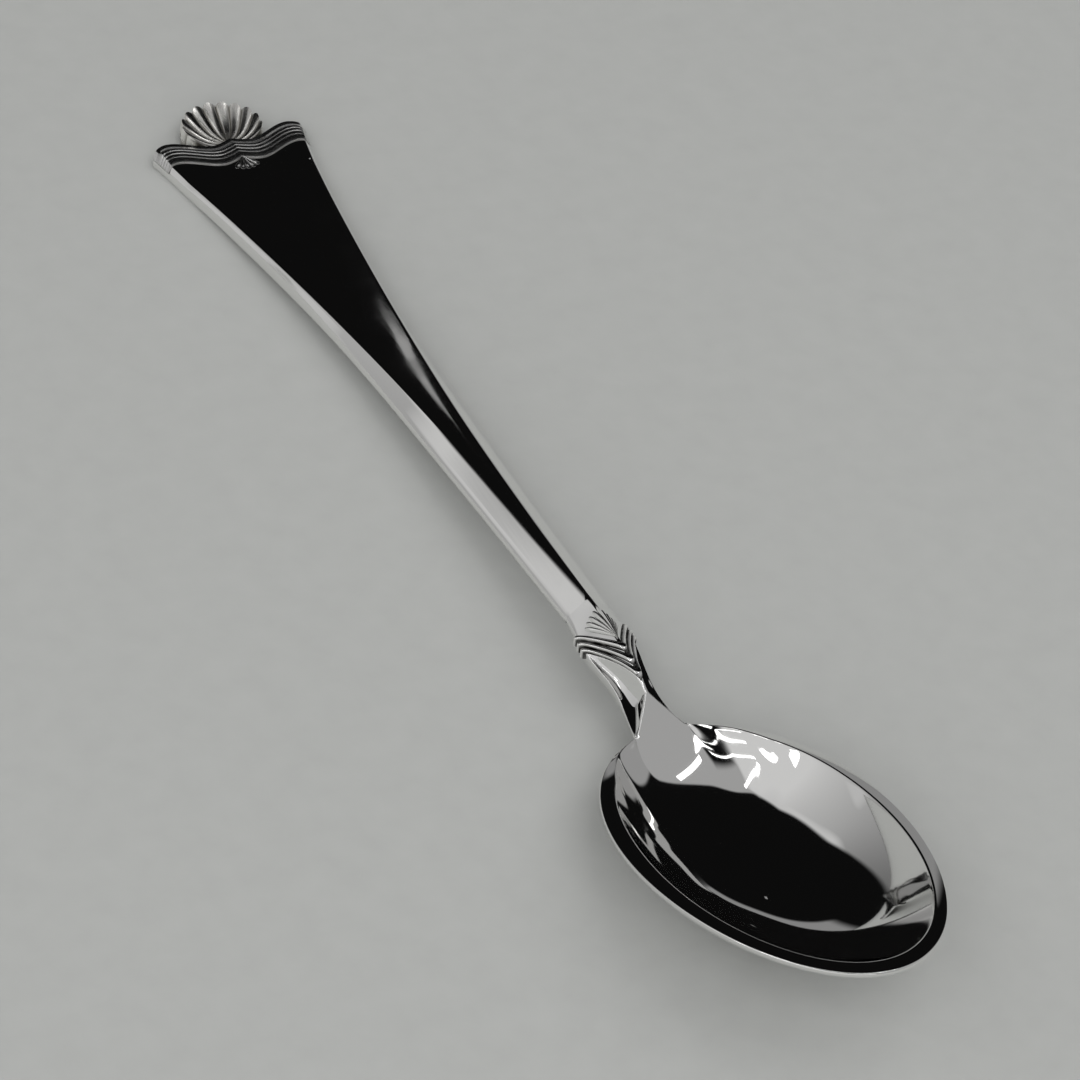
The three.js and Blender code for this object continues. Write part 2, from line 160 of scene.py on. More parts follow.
def rounded_path(corners: Sequence[Corner], arc: int = 4) -> list[Pair]:
    """A section with rounded corners and evenly divided sides.

    Args:
        corners: The section's corners in order. The ends stay sharp.
        arc: Steps round each corner.

    Returns:
        The points of the section.
    """
    spots = [np.array([c.across, c.height]) for c in corners]
    arcs: list[list[np.ndarray]] = []
    for i, corner in enumerate(corners):
        if i in (0, len(corners) - 1):
            arcs.append([spots[i]])
            continue
        back, ahead = spots[i - 1] - spots[i], spots[i + 1] - spots[i]
        back_length, ahead_length = np.linalg.norm(back), np.linalg.norm(ahead)
        radius = min(corner.radius, CORNER_SHARE * back_length, CORNER_SHARE * ahead_length)
        start = spots[i] + back / max(back_length, TINY) * radius
        end = spots[i] + ahead / max(ahead_length, TINY) * radius
        arcs.append(bend(start, spots[i], end, arc))
    path: list[Pair] = []
    for i, points in enumerate(arcs):
        path.extend((float(p[0]), float(p[1])) for p in points)
        if i + 1 < len(arcs):
            start, end = points[-1], arcs[i + 1][0]
            count = corners[i].divisions
            inner = [start + (end - start) * (k / count) for k in range(1, count)]
            path.extend((float(p[0]), float(p[1])) for p in inner)
    return path


def mirrored_ring(x: float, half: Sequence[Pair]) -> list[Point]:
    """A full section from its right half.

    Args:
        x: Place along the spoon.
        half: Points from the lowest on the axis to the highest on the axis.

    Returns:
        The closed ring of points.
    """
    right = [(x, y, z) for y, z in half]
    left = [(x, -y, z) for y, z in reversed(half[1:-1])]
    return right + left


def skin(rows: int, columns: int, ring: bool, start: int = 0) -> list[tuple[int, ...]]:
    """Faces between neighbouring rows of points.

    Args:
        rows: Number of rows.
        columns: Points in each row.
        ring: Whether each row closes on itself.
        start: Number of the first point.

    Returns:
        Four-sided faces.
    """
    faces = []
    for i in range(rows - 1):
        near = start + i * columns
        far = near + columns
        for j in range(columns if ring else columns - 1):
            k = (j + 1) % columns
            faces.append((near + j, far + j, far + k, near + k))
    return faces


@dataclass
class MeshDraft:
    """Points, faces and relief masks of a piece before it becomes a mesh."""

    points: list[Point] = field(default_factory=list)
    faces: list[tuple[int, ...]] = field(default_factory=list)
    recess: list[float] = field(default_factory=list)

    def add_rows(
        self,
        rows: Sequence[Sequence[Point]],
        ring: bool,
        recess: Callable[[int, int], float] = lambda i, j: 0.0,
    ) -> int:
        """Adds a skin over rows of points.

        Args:
            rows: Rows of equal length.
            ring: Whether each row closes on itself.
            recess: How far a point, by row and column, lies in a recess, from 0 to 1.

        Returns:
            The number of the first point added.
        """
        start = len(self.points)
        for i, row in enumerate(rows):
            self.points.extend(row)
            self.recess.extend(recess(i, j) for j in range(len(row)))
        self.faces.extend(skin(len(rows), len(rows[0]), ring, start))
        return start

    def add_sheet(
        self,
        rows: Sequence[float],
        columns: Sequence[float],
        spot: Callable[[float, float, float], Point],
        height: Callable[[float, float], float],
        base: float,
        recess: Callable[[float, float], float],
    ) -> None:
        """Adds a closed sheet that lies on another piece.

        Args:
            rows: Places along the sheet.
            columns: Places across it.
            spot: The point at a place along, a place across and a height.
            height: Height of the upper side at a place along and across.
            base: Height of the lower side.
            recess: How far the upper side lies in a recess there, from 0 to 1.
        """
        upper = [[spot(r, c, height(r, c)) for c in columns] for r in rows]
        lower = [[spot(r, c, base) for c in columns] for r in rows]
        top = self.add_rows(upper, False, lambda i, j: recess(rows[i], columns[j]))
        bottom = self.add_rows(lower, False, lambda i, j: 1.0)
        high, wide = len(rows), len(columns)
        edge = list(range(wide))
        edge += [i * wide + wide - 1 for i in range(1, high)]
        edge += [(high - 1) * wide + j for j in range(wide - 2, -1, -1)]
        edge += [i * wide for i in range(high - 2, 0, -1)]
        for k, here in enumerate(edge):
            there = edge[(k + 1) % len(edge)]
            self.faces.append((top + here, top + there, bottom + there, bottom + here))

    def piece(self, name: str, sharp: float = 50.0, open_planes: Iterable[float] = ()) -> bpy.types.Object:
        """Turns the draft into a smooth-shaded object.

        Args:
            name: Name of the piece.
            sharp: Angle in degrees over which an edge stays crisp.
            open_planes: Places along the spoon whose end walls are hidden in a joint and left out.

        Returns:
            The new object, linked to the scene.
        """
        mesh = bpy.data.meshes.new(name)
        mesh.from_pydata([(x * MM, y * MM, z * MM) for x, y, z in self.points], [], self.faces)
        mask = mesh.attributes.new(Relief.RECESS.value, "FLOAT", "POINT")
        mask.data.foreach_set("value", np.array(self.recess, np.float32))
        soup = bmesh.new()
        soup.from_mesh(mesh)
        bmesh.ops.remove_doubles(soup, verts=soup.verts, dist=WELD_DISTANCE)
        bmesh.ops.recalc_face_normals(soup, faces=soup.faces)
        hidden = [
            face
            for face in soup.faces
            for plane in open_planes
            if all(abs(corner.co.x - plane * MM) < PLANE_TOLERANCE for corner in face.verts)
        ]
        bmesh.ops.delete(soup, geom=hidden, context="FACES")
        soup.to_mesh(mesh)
        soup.free()
        mesh.shade_smooth()
        mesh.set_sharp_from_angle(angle=math.radians(sharp))
        piece = bpy.data.objects.new(name, mesh)
        bpy.context.scene.collection.objects.link(piece)
        return piece


def blend_seam(first: bpy.types.Object, second: bpy.types.Object, plane: float) -> None:
    """Gives two pieces the same shading where they meet, so that the joint doesn't show.

    Args:
        first: Piece on one side of the joint.
        second: Piece on the other side.
        plane: Place of the joint along the spoon.
    """
    sides = []
    for piece in (first, second):
        corners = [corner.vector.copy() for corner in piece.data.corner_normals]
        seam: dict[int, Vector] = {}
        for loop, normal in zip(piece.data.loops, corners):
            if abs(piece.data.vertices[loop.vertex_index].co.x - plane * MM) < PLANE_TOLERANCE:
                seam[loop.vertex_index] = seam.get(loop.vertex_index, Vector()) + normal
        sides.append((piece, corners, {index: normal.normalized() for index, normal in seam.items()}))
    for (piece, corners, seam), (other, _, other_seam) in (sides, sides[::-1]):
        blended = {}
        for index, normal in seam.items():
            spot = piece.data.vertices[index].co
            near = sorted(other_seam, key=lambda k: (other.data.vertices[k].co - spot).length)[:2]
            gaps = [(other.data.vertices[k].co - spot).length + 1e-7 for k in near]
            partner = sum((other_seam[k] / gap for k, gap in zip(near, gaps)), Vector()).normalized()
            matches = normal.dot(partner) > SEAM_MATCH
            blended[index] = (normal + partner).normalized() if matches else normal
        shaded = [blended.get(loop.vertex_index, corners[i]) for i, loop in enumerate(piece.data.loops)]
        piece.data.normals_split_custom_set([tuple(normal) for normal in shaded])


# Finishes


def add_node(
    tree: bpy.types.NodeTree, kind: str, inputs: dict[str | int, object], **settings: object
) -> bpy.types.Node:
    """Adds a node, sets its constants and links the sockets that it is given.

    Args:
        tree: The node tree.
        kind: Type of the node.
        inputs: Constants and sockets, by the name or number of the input that takes them.
        settings: The node's own settings.

    Returns:
        The node.
    """
    node = tree.nodes.new(kind)
    for name, value in settings.items():
        setattr(node, name, value)
    for key, value in inputs.items():
        if isinstance(value, bpy.types.NodeSocket):
            tree.links.new(value, node.inputs[key])
        else:
            node.inputs[key].default_value = value
    return node


class NodeGroups:
    """Shared surface effects, each built once as a shader node group."""

    def __init__(self) -> None:
        """Builds the groups."""
        self.patina_and_painted_shade = self._patina_and_painted_shade()
        self.wear_lines = self._wear_lines()
        self.hand_marks = self._hand_marks()

    @staticmethod
    def _group(
        name: str, inputs: dict[str, float | Colour], outputs: dict[str, str]
    ) -> bpy.types.ShaderNodeTree:
        """Makes an empty group with named sockets.

        Args:
            name: Name of the group.
            inputs: Input names with their resting values; three numbers make a colour.
            outputs: Output names with their socket types.

        Returns:
            The node tree, with its input and output nodes in place.
        """
        tree = bpy.data.node_groups.new(name, "ShaderNodeTree")
        for label, value in inputs.items():
            colour = isinstance(value, tuple)
            kind = "NodeSocketColor" if colour else "NodeSocketFloat"
            socket = tree.interface.new_socket(label, in_out="INPUT", socket_type=kind)
            socket.default_value = (*value, 1.0) if colour else value
        for label, kind in outputs.items():
            tree.interface.new_socket(label, in_out="OUTPUT", socket_type=kind)
        tree.nodes.new("NodeGroupInput").name = "in"
        tree.nodes.new("NodeGroupOutput").name = "out"
        return tree

    def _patina_and_painted_shade(self) -> bpy.types.ShaderNodeTree:
        """Tarnish that gathers in recesses, broken up by a fine mottle; with a near-black tarnish colour it
        is also painted shade in the grooves.

        Returns:
            A group with a colour and a mask.
        """
        tree = self._group(
            "recess_patina_and_painted_shade",
            {"Silver": (0.9, 0.9, 0.9), "Tarnish and shade": (0.1, 0.08, 0.05), "Amount": 0.8, "Scale": 900.0},
            {"Colour": "NodeSocketColor", "Mask": "NodeSocketFloat"},
        )
        given, taken = tree.nodes["in"].outputs, tree.nodes["out"].inputs
        relief = add_node(tree, "ShaderNodeAttribute", {}, attribute_name=Relief.RECESS.value)
        place = add_node(tree, "ShaderNodeTexCoord", {})
        mottle = add_node(
            tree,
            "ShaderNodeTexNoise",
            {"Vector": place.outputs["Object"], "Scale": given["Scale"], "Detail": 4.0},
        )
        breadth = {"To Min": 0.7, "To Max": 1.15}
        spread = add_node(
            tree,
            "ShaderNodeMapRange",
            {"Value": mottle.outputs["Fac"], "From Min": 0.3, "From Max": 0.7, **breadth},
        )
        broken = add_node(
            tree,
            "ShaderNodeMath",
            {0: relief.outputs["Fac"], 1: spread.outputs["Result"]},
            operation="MULTIPLY",
        )
        depth = add_node(
            tree,
            "ShaderNodeMath",
            {0: broken.outputs["Value"], 1: given["Amount"]},
            operation="MULTIPLY",
            use_clamp=True,
        )
        # Mixes the tarnish colour into the recesses: real tarnish, and painted shade where that colour is
        # near black.
        mix = add_node(
            tree,
            "ShaderNodeMix",
            {"Factor": depth.outputs["Value"], "A": given["Silver"], "B": given["Tarnish and shade"]},
            data_type="RGBA",
        )
        tree.links.new(mix.outputs["Result"], taken["Colour"])
        tree.links.new(depth.outputs["Value"], taken["Mask"])
        return tree

    def _wear_lines(self) -> bpy.types.ShaderNodeTree:
        """Hair-fine lines from years of wiping, mostly along the spoon.

        Returns:
            A group with a height for a Bump node.
        """
        tree = self._group("wear_lines", {"Scale": 500.0, "Stretch": 0.05}, {"Height": "NodeSocketFloat"})
        given, taken = tree.nodes["in"].outputs, tree.nodes["out"].inputs
        place = add_node(tree, "ShaderNodeTexCoord", {})
        squeeze = add_node(tree, "ShaderNodeCombineXYZ", {"X": given["Stretch"], "Y": 1.0, "Z": 1.0})
        drawn = add_node(
            tree,
            "ShaderNodeVectorMath",
            {0: place.outputs["Object"], 1: squeeze.outputs["Vector"]},
            operation="MULTIPLY",
        )
        lines = add_node(
            tree,
            "ShaderNodeTexNoise",
            {"Vector": drawn.outputs["Vector"], "Scale": given["Scale"], "Detail": 3.0},
        )
        tree.links.new(lines.outputs["Fac"], taken["Height"])
        return tree

    def _hand_marks(self) -> bpy.types.ShaderNodeTree:
        """Soft cloudy change of gloss, as after handling.

        Returns:
            A group with a roughness.
        """
        tree = self._group(
            "hand_marks",
            {"Clean": 0.04, "Cloudy": 0.12, "Scale": 90.0},
            {"Roughness": "NodeSocketFloat"},
        )
        given, taken = tree.nodes["in"].outputs, tree.nodes["out"].inputs
        place = add_node(tree, "ShaderNodeTexCoord", {})
        cloud = add_node(
            tree,
            "ShaderNodeTexNoise",
            {"Vector": place.outputs["Object"], "Scale": given["Scale"], "Detail": 5.0, "Roughness": 0.6},
        )
        gloss = {"To Min": given["Clean"], "To Max": given["Cloudy"]}
        spread = add_node(
            tree,
            "ShaderNodeMapRange",
            {"Value": cloud.outputs["Fac"], "From Min": 0.42, "From Max": 0.72, **gloss},
            interpolation_type="SMOOTHSTEP",
        )
        tree.links.new(spread.outputs["Result"], taken["Roughness"])
        return tree


@dataclass(frozen=True)
class SilverFinish:
    """A silver surface: its colour, gloss, tarnish (partly painted shade in some finishes) and wear."""

    name: str
    slot: Slot
    silver: Colour
    tarnish_and_painted_shade: Colour
    tarnish_and_shade_amount: float
    mottle_scale: float
    clean_gloss: float
    cloudy_gloss: float
    cloud_scale: float
    line_depth: float
    line_scale: float
    line_stretch: float
    tarnish_dulling: float = 0.45

    def material(self, groups: NodeGroups) -> bpy.types.Material:
        """Builds the node material.

        Args:
            groups: The shared surface effects.

        Returns:
            The material.
        """
        material = bpy.data.materials.new(self.name)
        material.use_nodes = True
        tree = material.node_tree
        metal = tree.nodes["Principled BSDF"]
        metal.inputs["Metallic"].default_value = 1.0
        colours = {"Silver": (*self.silver, 1.0), "Tarnish and shade": (*self.tarnish_and_painted_shade, 1.0)}
        patina_and_painted_shade = add_node(
            tree,
            "ShaderNodeGroup",
            {**colours, "Amount": self.tarnish_and_shade_amount, "Scale": self.mottle_scale},
            node_tree=groups.patina_and_painted_shade,
        )
        marks = add_node(
            tree,
            "ShaderNodeGroup",
            {"Clean": self.clean_gloss, "Cloudy": self.cloudy_gloss, "Scale": self.cloud_scale},
            node_tree=groups.hand_marks,
        )
        dull = add_node(
            tree,
            "ShaderNodeMath",
            {0: patina_and_painted_shade.outputs["Mask"], 1: self.tarnish_dulling, 2: marks.outputs["Roughness"]},
            operation="MULTIPLY_ADD",
        )
        lines = add_node(
            tree,
            "ShaderNodeGroup",
            {"Scale": self.line_scale, "Stretch": self.line_stretch},
            node_tree=groups.wear_lines,
        )
        bump = add_node(
            tree,
            "ShaderNodeBump",
            {"Strength": 1.0, "Distance": self.line_depth * MM, "Height": lines.outputs["Height"]},
        )
        tree.links.new(patina_and_painted_shade.outputs["Colour"], metal.inputs["Base Color"])
        tree.links.new(dull.outputs["Value"], metal.inputs["Roughness"])
        tree.links.new(bump.outputs["Normal"], metal.inputs["Normal"])
        return material


MIRROR_SILVER = SilverFinish(
    name="mirror_silver",
    slot=Slot.POLISHED,
    silver=(0.88, 0.876, 0.864),
    tarnish_and_painted_shade=(0.42, 0.38, 0.31),
    tarnish_and_shade_amount=0.5,
    mottle_scale=700.0,
    clean_gloss=0.03,
    cloudy_gloss=0.055,
    cloud_scale=120.0,
    line_depth=0.0004,
    line_scale=2600.0,
    line_stretch=0.04,
)
STEM_SILVER = SilverFinish(
    name="stem_silver",
    slot=Slot.POLISHED,
    silver=(0.925, 0.92, 0.905),
    tarnish_and_painted_shade=(0.42, 0.38, 0.31),
    tarnish_and_shade_amount=0.5,
    mottle_scale=700.0,
    clean_gloss=0.03,
    cloudy_gloss=0.075,
    cloud_scale=150.0,
    line_depth=0.0006,
    line_scale=2200.0,
    line_stretch=0.03,
)
# Chased silver for the collar and palmette: its near-black tarnish colour, at full amount, paints shade into
# the reed grooves as well as tarnish.
CHASED_SILVER_WITH_PAINTED_SHADE = SilverFinish(
    name="chased_silver_with_painted_shade",
    slot=Slot.AGED,
    silver=(0.96, 0.955, 0.94),
    tarnish_and_painted_shade=(0.02, 0.018, 0.015),
    tarnish_and_shade_amount=1.0,
    mottle_scale=1500.0,
    clean_gloss=0.05,
    cloudy_gloss=0.1,
    cloud_scale=300.0,
    line_depth=0.0008,
    line_scale=3000.0,
    line_stretch=0.6,
)
# Worn silver for the end moulding and leaf: the rougher gloss is wear, but the darker silver colour is
# painted shade that stands in for the dark reflections on the moulding.
WORN_AND_SHADED_SILVER = SilverFinish(
    name="worn_and_shaded_silver",
    slot=Slot.AGED,
    silver=(0.66, 0.657, 0.648),
    tarnish_and_painted_shade=(0.06, 0.055, 0.045),
    tarnish_and_shade_amount=0.75,
    mottle_scale=1300.0,
    clean_gloss=0.2,
    cloudy_gloss=0.3,
    cloud_scale=300.0,
    line_depth=0.001,
    line_scale=2600.0,
    line_stretch=0.6,
)
CAST_SILVER = SilverFinish(
    name="cast_silver",
    slot=Slot.AGED,
    silver=(0.93, 0.915, 0.88),
    tarnish_and_painted_shade=(0.1, 0.085, 0.055),
    tarnish_and_shade_amount=0.85,
    mottle_scale=1200.0,
    clean_gloss=0.16,
    cloudy_gloss=0.26,
    cloud_scale=260.0,
    line_depth=0.0012,
    line_scale=2400.0,
    line_stretch=0.8,
)


# The spoon


@dataclass
class SpoonLayout:
    """Lengths along the spoon and the sizes that neighbouring pieces share."""

    shell_reach: float = 4.4
    handle_length: float = 70.0
    neck_length: float = 12.2
    bowl_length: float = 33.4
    joint_width: float = 4.1
    stem_width: float = 3.5
    stem_depth: float = 1.95
    stem_edge: float = 0.45
    stem_lift: float = 3.8
    ridge_half: float = 0.1
    under_chamfer: float = 0.25
    under_joint: float = 1.2
    seat_gap: float = 0.3

    @property
    def x_tip(self) -> float:
        """The bowl tip."""
        return (self.shell_reach + self.handle_length + self.neck_length + self.bowl_length) / 2

    @property
    def x_bowl(self) -> float:
        """The joint of neck and bowl."""
        return self.x_tip - self.bowl_length

    @property
    def x_neck(self) -> float:
        """The joint of handle and neck."""
        return self.x_bowl - self.neck_length

    @property
    def x_shoulder(self) -> float:
        """The shoulders of the handle end."""
        return self.x_neck - self.handle_length

    @property
    def x_shell(self) -> float:
        """The tip of the shell."""
        return self.x_shoulder - self.shell_reach


class SpoonPiece:
    """A piece of the spoon, which stands for a node of the CAD frame."""

    node: ClassVar[str]
    finish: SilverFinish

    def build(self) -> bpy.types.Object:
        """Builds the piece's mesh."""
        raise NotImplementedError

    def dress(self, piece: bpy.types.Object, materials: dict[str, bpy.types.Material]) -> None:
        """Puts the piece in its finish and in the place of its CAD node.

        Args:
            piece: The object that holds the mesh.
            materials: Materials by the name of their finish.
        """
        piece.data.materials.clear()
        piece.data.materials.append(materials[self.finish.name])
        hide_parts(self.node)
        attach(piece, "root")
        faces = len(piece.data.polygons)
        LOG.info("%s stands for %s in %s: %d faces", piece.name, self.node, self.finish.name, faces)


class Ornament(SpoonPiece):
    """A piece that lies on another one as a sheet in relief."""

    bed: float

    def stations(self) -> tuple[list[float], list[float]]:
        """Places along and across the sheet at which it has points."""
        raise NotImplementedError

    def spot(self, along: float, across: float, height: float) -> Point:
        """A point of the sheet at a height over the piece below."""
        raise NotImplementedError

    def top(self, along: float, across: float) -> float:
        """Height of the sheet's upper side."""
        raise NotImplementedError

    def recess(self, along: float, across: float) -> float:
        """How far a place of the upper side lies in a recess, from 0 to 1."""
        raise NotImplementedError

    def build(self) -> bpy.types.Object:
        """Builds the sheet, from its upper side down to its bed in the piece below.

        Returns:
            The piece.
        """
        along, across = self.stations()
        draft = MeshDraft()
        draft.add_sheet(along, across, self.spot, self.top, -self.bed, self.recess)
        return draft.piece(f"{self.node}_visual")


@dataclass
class Bowl(SpoonPiece):
    """The oval bowl with its sloping rim."""

    node: ClassVar[str] = "bowl"
    layout: SpoonLayout
    finish: SilverFinish = MIRROR_SILVER
    width: float = 19.3
    fullness: float = 0.07
    low_point: float = 12.9
    floor: float = 0.9
    land: float = 1.1
    fall: float = 0.3
    edge: float = 0.3
    heel_height: float = 3.2
    tip_height: float = 10.2
    rest_flat: float = 0.2
    fillet: float = 1.0
    edge_round: float = 0.14
    round_from: float = 0.1
    round_full: float = 2.5
    land_run: float = 4.4
    rim_points: int = 110
    joint_points: int = 10
    inside_rows: int = 44
    outside_rows: int = 36
    row_bias: float = 0.8
    inside_powers: Powers = (2.5, 2.0, 2.9)
    outside_powers: Powers = (2.0, 1.7, 2.2)

    def rim_height(self, x: float) -> float:
        """Height of the rim at a place along the spoon."""
        return lerp(self.heel_height, self.tip_height, (x - self.layout.x_bowl) / self.layout.bowl_length)

    def oval_point(self, share: float) -> np.ndarray:
        """A point of the plain oval.

        Args:
            share: Place round the oval, from the tip (0) over the right side to the heel (1).

        Returns:
            The point in plan.
        """
        turn = math.pi * share
        y = self.width / 2 * math.sin(turn) * (1 - self.fullness * math.cos(turn))
        return np.array([self.layout.x_tip - self.layout.bowl_length / 2 * (1 - math.cos(turn)), y])

    def rim_point(self, share: float) -> np.ndarray:
        """A point of the oval widened to the neck, with a hollow corner where they meet.

        Args:
            share: Place round the rim, from the tip (0) to the heel (1).

        Returns:
            The point in plan.
        """
        oval = self.oval_point(share)
        if share < 0.5:
            return oval
        half = self.layout.joint_width / 2
        near = max(0.0, self.fillet - abs(oval[1] - half))
        corner = near**2 / (4 * self.fillet) if share < 1 else 0.0
        return np.array([oval[0], max(oval[1], half) + corner])

    def build(self) -> bpy.types.Object:
        """Builds the bowl's mesh, open where it joins the neck.

        Returns:
            The piece.
        """
        layout = self.layout
        half = layout.joint_width / 2

        def both(points: list[np.ndarray]) -> list[np.ndarray]:
            """A half outline with its mirror image."""
            return points + [np.array([p[0], -p[1]]) for p in reversed(points[1:-1])]

        flank = [self.rim_point(s) for s in steps(self.rim_points)]
        across = [np.array([layout.x_bowl, half * (1 - s)]) for s in steps(self.joint_points)[1:]]
        outline = both(flank + across)
        oval = both([self.oval_point(s) for s in steps(self.rim_points + self.joint_points)])
        low = np.array([layout.x_bowl + self.low_point, 0.0])
        inner_shares = [s**self.row_bias for s in steps(self.inside_rows)][:-1]
        outer_shares = [s**self.row_bias for s in reversed(steps(self.outside_rows))][1:]
        columns = []
        for corner, plain in zip(outline, oval):
            columns.append(self._column(corner, plain, low, inner_shares, outer_shares))
        rows = [list(row) for row in zip(*columns)]
        draft = MeshDraft()
        draft.add_rows(rows, True)
        return draft.piece("bowl_visual", sharp=75, open_planes=[layout.x_bowl])

    def _inset(self, corner: np.ndarray, low: np.ndarray) -> tuple[float, np.ndarray]:
        """The rim's inner point in plan.

        Args:
            corner: The rim's outer point.
            low: The lowest point of the bowl.

        Returns:
            How much of the rim's width there is, from 0 at the heel to 1, and the point.
        """
        x_bowl = self.layout.x_bowl
        rim_share = smoothstep(corner[0], x_bowl, x_bowl + self.land_run)
        away = corner - low
        return rim_share, corner - away / np.linalg.norm(away) * self.land * rim_share

    @staticmethod
    def _power(powers: Powers, way: float) -> float:
        """How sharply the wall turns up, between its values at the side, the tip and the heel."""
        side, tip, heel = powers
        return lerp(side, tip, way**2) if way > 0 else lerp(side, heel, way**4)

    def _column(
        self,
        corner: np.ndarray,
        plain: np.ndarray,
        low: np.ndarray,
        inner_shares: Sequence[float],
        outer_shares: Sequence[float],
    ) -> list[Point]:
        """The points from the middle of the inside, over the rim, to the middle of the underside.

        Args:
            corner: The rim's outer point in plan.
            plain: The plain oval's point that goes with it.
            low: The lowest point in plan.
            inner_shares: Shares of the way from the lowest point to the rim, inside.
            outer_shares: Shares of the way from the rim to the lowest point, below.

        Returns:
            The points in order.
        """
        x_bowl = self.layout.x_bowl
        away = corner - low
        way = away[0] / np.linalg.norm(away)
        edge_round = self.edge_round * smoothstep(corner[0] - x_bowl, self.round_from, self.round_full)
        rim_share, inset = self._inset(corner, low)
        plain_inset = self._inset(plain, low)[1]
        lip = self.rim_height(corner[0]) - self.edge
        foot = lip
        if corner[0] <= x_bowl + PLANE_TOLERANCE:
            across = abs(corner[1]) / (self.layout.joint_width / 2)
            foot = lerp(self.layout.under_joint, lip, across**3)
        inside_power = self._power(self.inside_powers, way)
        outside_power = self._power(self.outside_powers, way)

        def plan(share: float, oval: np.ndarray, edge: np.ndarray) -> np.ndarray:
            """A point a share of the way out, on the plain oval inside and fitted to the rim outside."""
            return low + (oval + (edge - oval) * share**6 - low) * share

        def inside(share: float) -> np.ndarray:
            """A point of the inner surface."""
            rise = self.rim_height(inset[0]) + self.fall * rim_share - self.floor
            return np.append(plan(share, plain_inset, inset), self.floor + rise * share**inside_power)

        def outside(share: float) -> np.ndarray:
            """A point of the underside."""
            z = (lerp(lip, foot, share**2) + self.rest_flat) * share**outside_power - self.rest_flat
            return np.append(plan(share, plain, corner), max(0.0, z))

        corners = [inside(1.0), np.append(corner, self.rim_height(corner[0])), outside(1.0)]
        line = [inside(s) for s in inner_shares]
        tail = [outside(s) for s in outer_shares]
        neighbours = [line[-1], *corners, tail[0]]
        rim: list[np.ndarray] = []
        for i in (1, 2, 3):
            back, ahead = neighbours[i - 1] - neighbours[i], neighbours[i + 1] - neighbours[i]
            reach = [min(edge_round, CORNER_SHARE * np.linalg.norm(side)) for side in (back, ahead)]
            start = neighbours[i] + back / max(np.linalg.norm(back), TINY) * reach[0]
            end = neighbours[i] + ahead / max(np.linalg.norm(ahead), TINY) * reach[1]
            rim += bend(start, neighbours[i], end)
        return [tuple(float(v) for v in p) for p in [*line, *rim, *tail]]


